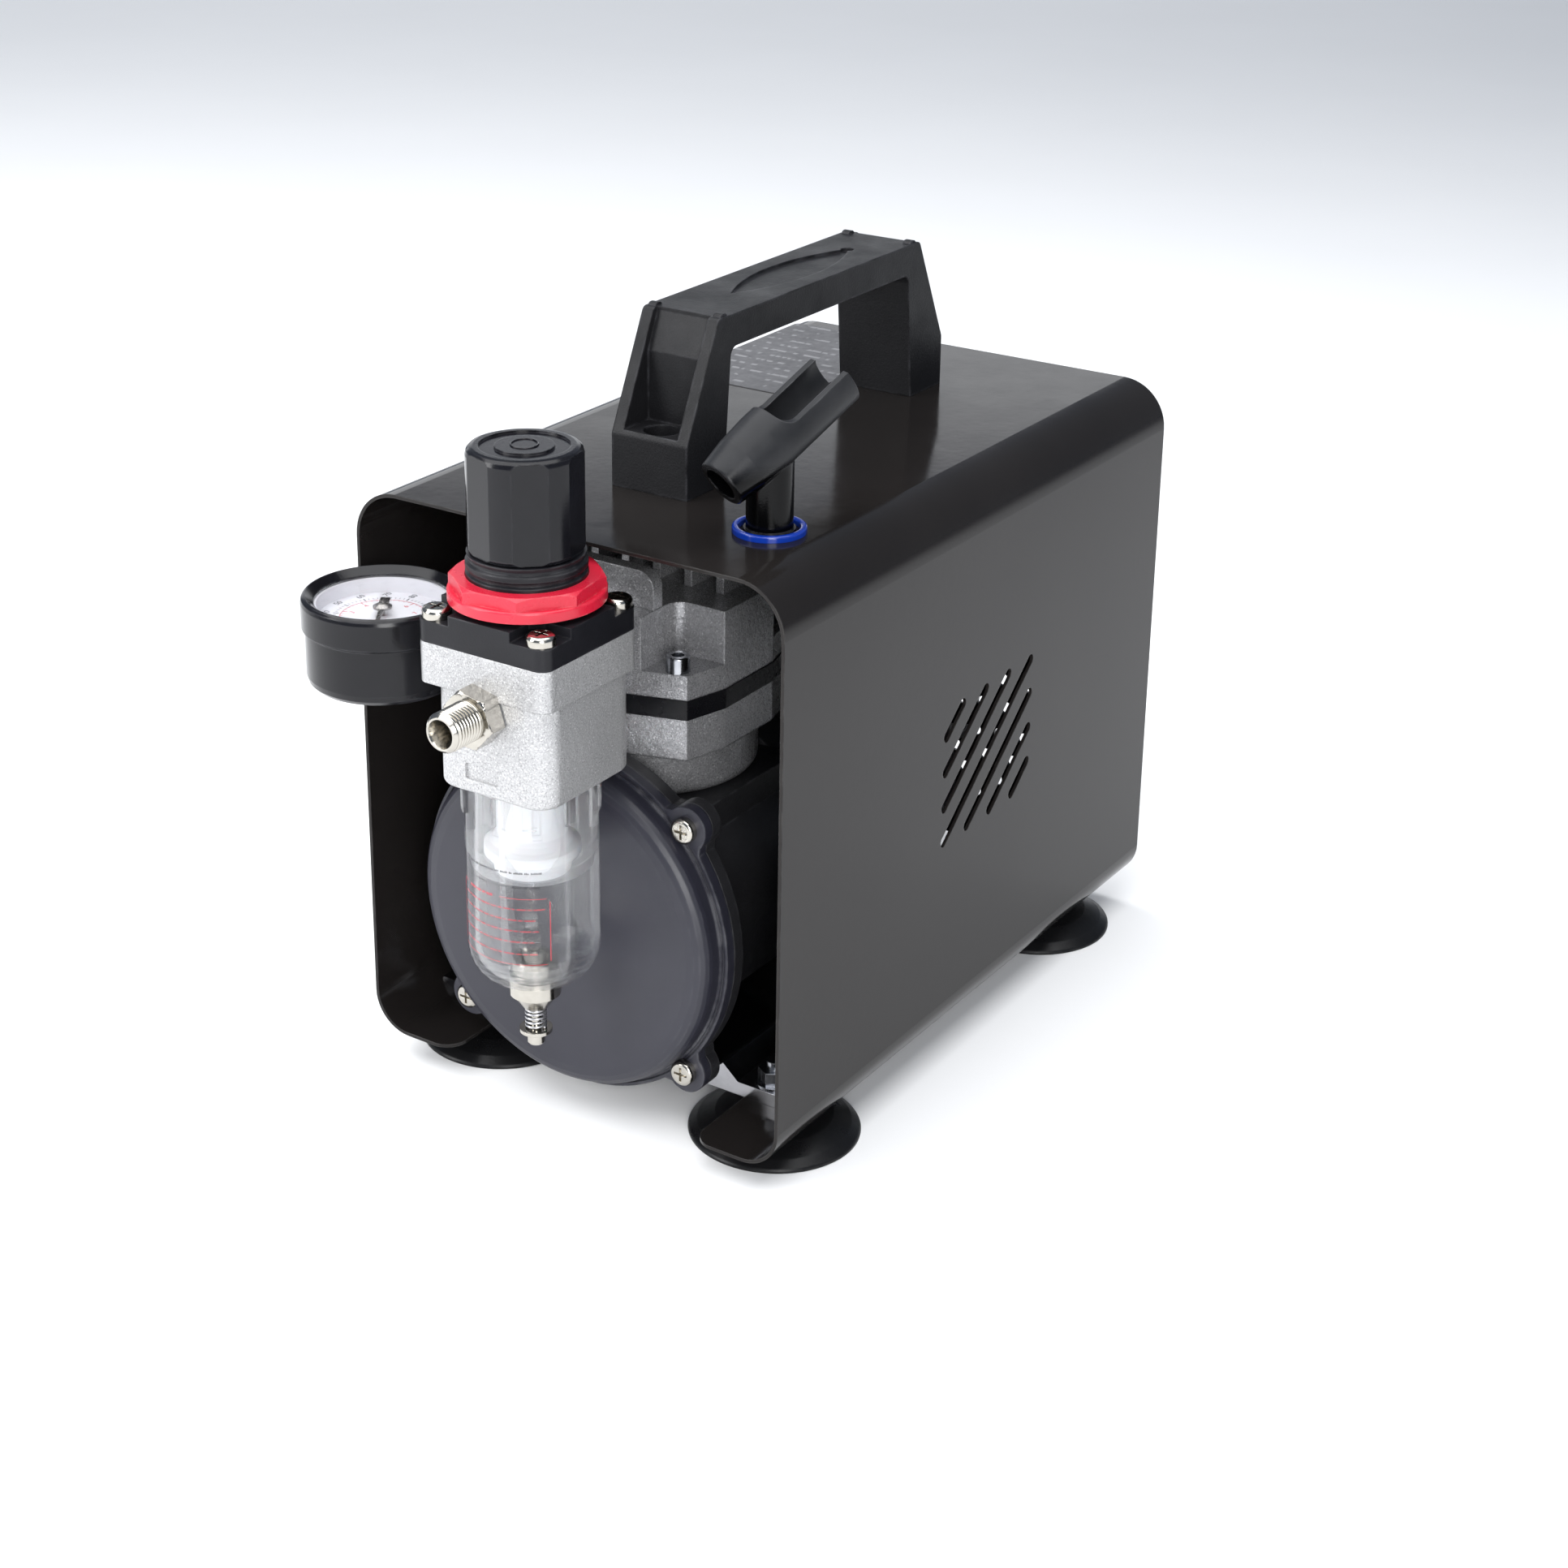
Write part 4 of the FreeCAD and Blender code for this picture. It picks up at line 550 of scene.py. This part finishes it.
# ---- gauge dial ---------------------------------------------------------------------------------
DIAL_TOP = 0.17741
ZERO_AT = math.radians(-45.0)
BLACK_FULL, RED_FULL = 100.0, 7.03          # readings at the end of the 270 degree scales
INK_THICKNESS = 0.04 * MM


def dial_direction(value, full):
    """Unit vector on the dial for a reading; zero is front right and readings run clockwise."""
    a = ZERO_AT - math.radians(270.0) * value / full
    return Vector((math.cos(a), math.sin(a), 0))


def slab(corners, thickness):
    """Closed thin prism on the dial from corner points in order."""
    n = len(corners)
    verts = list(corners) + [c + Vector((0, 0, thickness)) for c in corners]
    faces = [tuple(range(n - 1, -1, -1)), tuple(range(n, 2 * n))]
    faces += [(i, (i + 1) % n, n + (i + 1) % n, n + i) for i in range(n)]
    return verts, faces


def joined(name, slabs, material, body):
    """One piece from many small closed solids."""
    verts, faces = [], []
    for v, f in slabs:
        start = len(verts)
        verts += v
        faces += [tuple(i + start for i in face) for face in f]
    return piece(name, verts, faces, material, body, smooth=False)


def tick(value, full, r0, r1, width):
    """Radial mark at a reading, between two radii."""
    d = dial_direction(value, full)
    side = Vector((-d.y, d.x, 0)) * (width / 2)
    base = GAUGE + Vector((0, 0, DIAL_TOP))
    inner, outer = base + d * r0, base + d * r1
    return slab([inner - side, outer - side, outer + side, inner + side], INK_THICKNESS)


def arc_slabs(full, r0, r1, start, end, steps):
    """Thin arc between two readings, in short straight steps."""
    base = GAUGE + Vector((0, 0, DIAL_TOP))
    slabs = []
    for i in range(steps):
        a = dial_direction(start + (end - start) * i / steps, full)
        b = dial_direction(start + (end - start) * (i + 1) / steps, full)
        slabs.append(slab([base + a * r0, base + a * r1, base + b * r1, base + b * r0], INK_THICKNESS))
    return slabs


def number(text, spot, size, material):
    """Mesh of one numeral lying on the dial."""
    curve = bpy.data.curves.new("numeral_" + text, "FONT")
    curve.body = text
    curve.size = size
    curve.align_x = "CENTER"
    curve.align_y = "CENTER"
    curve.extrude = 0.00002
    source = bpy.data.objects.new("numeral_source", curve)
    bpy.context.scene.collection.objects.link(source)
    bpy.context.view_layer.update()
    mesh = bpy.data.meshes.new_from_object(source)
    bpy.data.objects.remove(source)
    mesh.transform(Matrix.Translation(spot) @ Matrix.Rotation(math.radians(90), 4, "Z"))
    mesh.materials.clear()
    mesh.materials.append(material)
    return mesh


def dial_numbers(name, values, full, radius, size, material):
    """One piece holding a ring of upright numerals."""
    meshes = []
    for value in values:
        spot = GAUGE + Vector((0, 0, DIAL_TOP + 0.00002)) + dial_direction(value, full) * radius
        meshes.append(number(str(value), spot, size, material))
    verts, faces = [], []
    for mesh in meshes:
        start = len(verts)
        verts += [v.co.copy() for v in mesh.vertices]
        faces += [tuple(i + start for i in p.vertices) for p in mesh.polygons]
        bpy.data.meshes.remove(mesh)
    return piece(name, verts, faces, material, "chassis", smooth=False)


def gauge_marks(m):
    """Ticks, red arc and numerals of both scales."""
    black = [tick(v, BLACK_FULL, 14.5 * MM, 16.4 * MM, 0.36 * MM) for v in range(0, 101, 10)]
    black += [tick(v, BLACK_FULL, 15.2 * MM, 16.1 * MM, 0.20 * MM) for v in range(2, 100, 2) if v % 10]
    red = [tick(v, RED_FULL, 12.2 * MM, 13.8 * MM, 0.30 * MM) for v in range(0, 8)]
    red += [tick(v / 5, RED_FULL, 13.0 * MM, 13.8 * MM, 0.16 * MM) for v in range(1, 35) if v % 5]
    red += arc_slabs(RED_FULL, 13.75 * MM, 13.95 * MM, 0, 7, 80)
    ink, red_ink = m["ink"], m["red_ink"]
    tens, units = range(0, 101, 10), range(0, 8)
    marks = [joined("dial_black_scale", black, ink, "chassis"),
             joined("dial_red_scale", red, red_ink, "chassis"),
             dial_numbers("dial_black_numerals", tens, BLACK_FULL, 18.9 * MM, 3.1 * MM, ink),
             dial_numbers("dial_red_numerals", units, RED_FULL, 10.4 * MM, 2.7 * MM, red_ink)]


# ---- printed bowl markings ----------------------------------------------------------------------
def bowl_strip(z0, z1, a0, a1, radius=21.32 * MM, thickness=0.03 * MM):
    """Thin curved strip on the bowl between two heights and two angles in degrees."""
    steps = max(1, round(abs(a1 - a0) / 3))
    verts, faces = [], []
    for i in range(steps + 1):
        a = math.radians(a0 + (a1 - a0) * i / steps)
        out = Vector((math.cos(a), math.sin(a), 0))
        for r, z in ((radius, z0), (radius, z1), (radius + thickness, z1), (radius + thickness, z0)):
            verts.append(REG + out * r + Vector((0, 0, z)))
    for i in range(steps):
        for j in range(4):
            k = (j + 1) % 4
            faces.append((4 * i + j, 4 * i + k, 4 * i + 4 + k, 4 * i + 4 + j))
    faces.append((3, 2, 1, 0))
    faces.append(tuple(4 * steps + j for j in range(4)))
    return verts, faces


def word_row(z, height, start, end, step):
    """Row of small blocks in groups of uneven length, like the words of a printed line."""
    letters = (5, 2, 6, 3, 7, 4, 3)
    strips, a, i = [], start, step
    while a < end - 2.5:
        for k in range(letters[i % len(letters)]):
            tall = height * (1.0 if (k + i) % 3 else 0.72)
            strips.append(bowl_strip(z, z + tall, a, a + 0.8))
            a += 1.35
        a, i = a + 1.3, i + 1
    return strips


def bowl_marks(m):
    """Red frame with rows of plain dashes, and two dark rules above it."""
    left, right, low, high, line = -136.0, -38.0, 81.0 * MM, 104.0 * MM, 0.14 * MM
    red = [bowl_strip(low, low + line, left + 3, right - 3), bowl_strip(high, high + line, -82.0, right - 3),
           bowl_strip(high, high + line, left + 3, -124.0),
           bowl_strip(low + 1.2 * MM, high - 1.0 * MM, left - 0.3, left + 0.3),
           bowl_strip(low + 1.2 * MM, high - 1.0 * MM, right - 0.3, right + 0.3)]
    red += word_row(high - 0.4 * MM, 0.8 * MM, -118.0, -90.0, 4)
    for step, z in enumerate((100.2, 96.4, 92.6, 88.8, 84.6)):
        red += word_row(z * MM, 0.45 * MM, left + 8, right - 10, step)
    dark = [bowl_strip(108.0 * MM, 108.2 * MM, -130, -74)]
    dark += word_row(107.7 * MM, 0.8 * MM, -70.0, -46.0, 2)
    dark += word_row(112.6 * MM, 0.7 * MM, -122.0, -46.0, 1)
    joined("bowl_red_print", red, m["red_ink"], "chassis")
    joined("bowl_dark_print", dark, m["ink"], "chassis")


# ---- knob ---------------------------------------------------------------------------------------
def knob_badge(material):
    """Low drop-shaped ridge in the middle of the knob's top."""
    top, low, high, half = 245.8 * MM, 0.1 * MM, 0.35 * MM, 0.35 * MM
    count = 40
    verts, faces = [], []
    for i in range(count):
        a = 2 * math.pi * i / count
        r = (4.2 + 1.1 * max(0.0, math.cos(a - math.radians(125.0))) ** 3) * MM
        out = Vector((math.cos(a), math.sin(a), 0))
        for dr, dz in ((-half, -low), (-half * 0.5, high), (half * 0.5, high), (half, -low)):
            verts.append(REG + out * (r + dr) + Vector((0, 0, top + dz)))
    for i in range(count):
        for j in range(4):
            k, n = (j + 1) % 4, (i + 1) % count
            faces.append((4 * i + j, 4 * i + k, 4 * n + k, 4 * n + j))
    obj = piece("knob_badge", verts, faces, material, "knob")


# ---- stage --------------------------------------------------------------------------------------
def floor():
    """Wide flat pale floor."""
    g = Graph("pale_floor")
    color = g.mix(g.noise(6.0, 3.0), (0.90, 0.90, 0.90), (0.93, 0.93, 0.93))
    roughness = g.remap(g.noise(30.0), 0.3, 0.7, 0.75, 0.85)
    g.set(specular=0.1)
    material = g.finish(color, roughness, g.bump(g.noise(700.0), 0.00002))
    mesh = bpy.data.meshes.new("floor")
    corners = [(x, y, -0.0002) for x, y in ((-9, -9), (9, -9), (9, 9), (-9, 9))]
    mesh.from_pydata(corners, [], [(0, 1, 2, 3)])
    mesh.materials.append(material)
    obj = bpy.data.objects.new("floor", mesh)
    bpy.context.scene.collection.objects.link(obj)


def area_light(name, spot, target, size, power):
    """White rectangular light at a spot, turned to a target."""
    light = bpy.data.lights.new(name, "AREA")
    light.shape = "RECTANGLE"
    light.size, light.size_y = size
    light.energy = power
    obj = bpy.data.objects.new(name, light)
    obj.location = spot
    obj.rotation_euler = (Vector(target) - Vector(spot)).to_track_quat("-Z", "Y").to_euler()
    bpy.context.scene.collection.objects.link(obj)


def lights():
    """Faint bluish surroundings and four soft lights."""
    world = bpy.data.worlds.new("studio")
    world.use_nodes = True
    world.node_tree.nodes["Background"].inputs["Color"].default_value = (0.68, 0.80, 1.0, 1.0)
    world.node_tree.nodes["Background"].inputs["Strength"].default_value = 0.26
    bpy.context.scene.world = world
    centre = (0, 0, 0.13)
    area_light("overhead", (-0.2, -0.35, 1.5), (-0.2, -0.35, 0), (2.2, 1.9), 52.0)
    area_light("key", (-1.5, -2.0, 1.2), centre, (1.0, 1.5), 46.0)
    area_light("right_fill", (1.7, -1.9, 0.9), centre, (1.0, 1.5), 56.0)
    area_light("rear_glow", (-1.95, 2.4, 0.78), (-0.1, 0, 0.25), (3.4, 0.9), 11.0)


def camera():
    """Long-lens three-quarter view from the front right, a little above."""
    azimuth, elevation, roll = math.radians(35.017), math.radians(20.791), math.radians(-0.032)
    level = math.cos(elevation)
    back = Vector((math.sin(azimuth) * level, -math.cos(azimuth) * level, math.sin(elevation)))
    right = Vector((math.cos(azimuth), math.sin(azimuth), 0))
    up = back.cross(right)
    turned_right = right * math.cos(roll) + up * math.sin(roll)
    turned_up = up * math.cos(roll) - right * math.sin(roll)
    lens = bpy.data.cameras.new("camera")
    lens.sensor_width = 36.0
    lens.lens = 64.14
    lens.shift_x, lens.shift_y = 0.0713, -0.1272
    lens.clip_start, lens.clip_end = 0.05, 20.0
    obj = bpy.data.objects.new("camera", lens)
    axes = Matrix((turned_right, turned_up, back)).transposed().to_4x4()
    obj.matrix_world = Matrix.Translation((0.49668, -0.74433, 0.50387)) @ axes
    bpy.context.scene.collection.objects.link(obj)
    bpy.context.scene.camera = obj


# ---- scene --------------------------------------------------------------------------------------
materials = make_materials()
dress_nodes(materials)
outlet_nipple(materials["nickel"])
drain_spring(materials["steel"])
regulating_spring(materials["steel"])
gauge_marks(materials)
bowl_marks(materials)
knob_badge(materials["gloss_black"])
floor()
lights()
camera()
bpy.context.scene.view_settings.view_transform = "Standard"
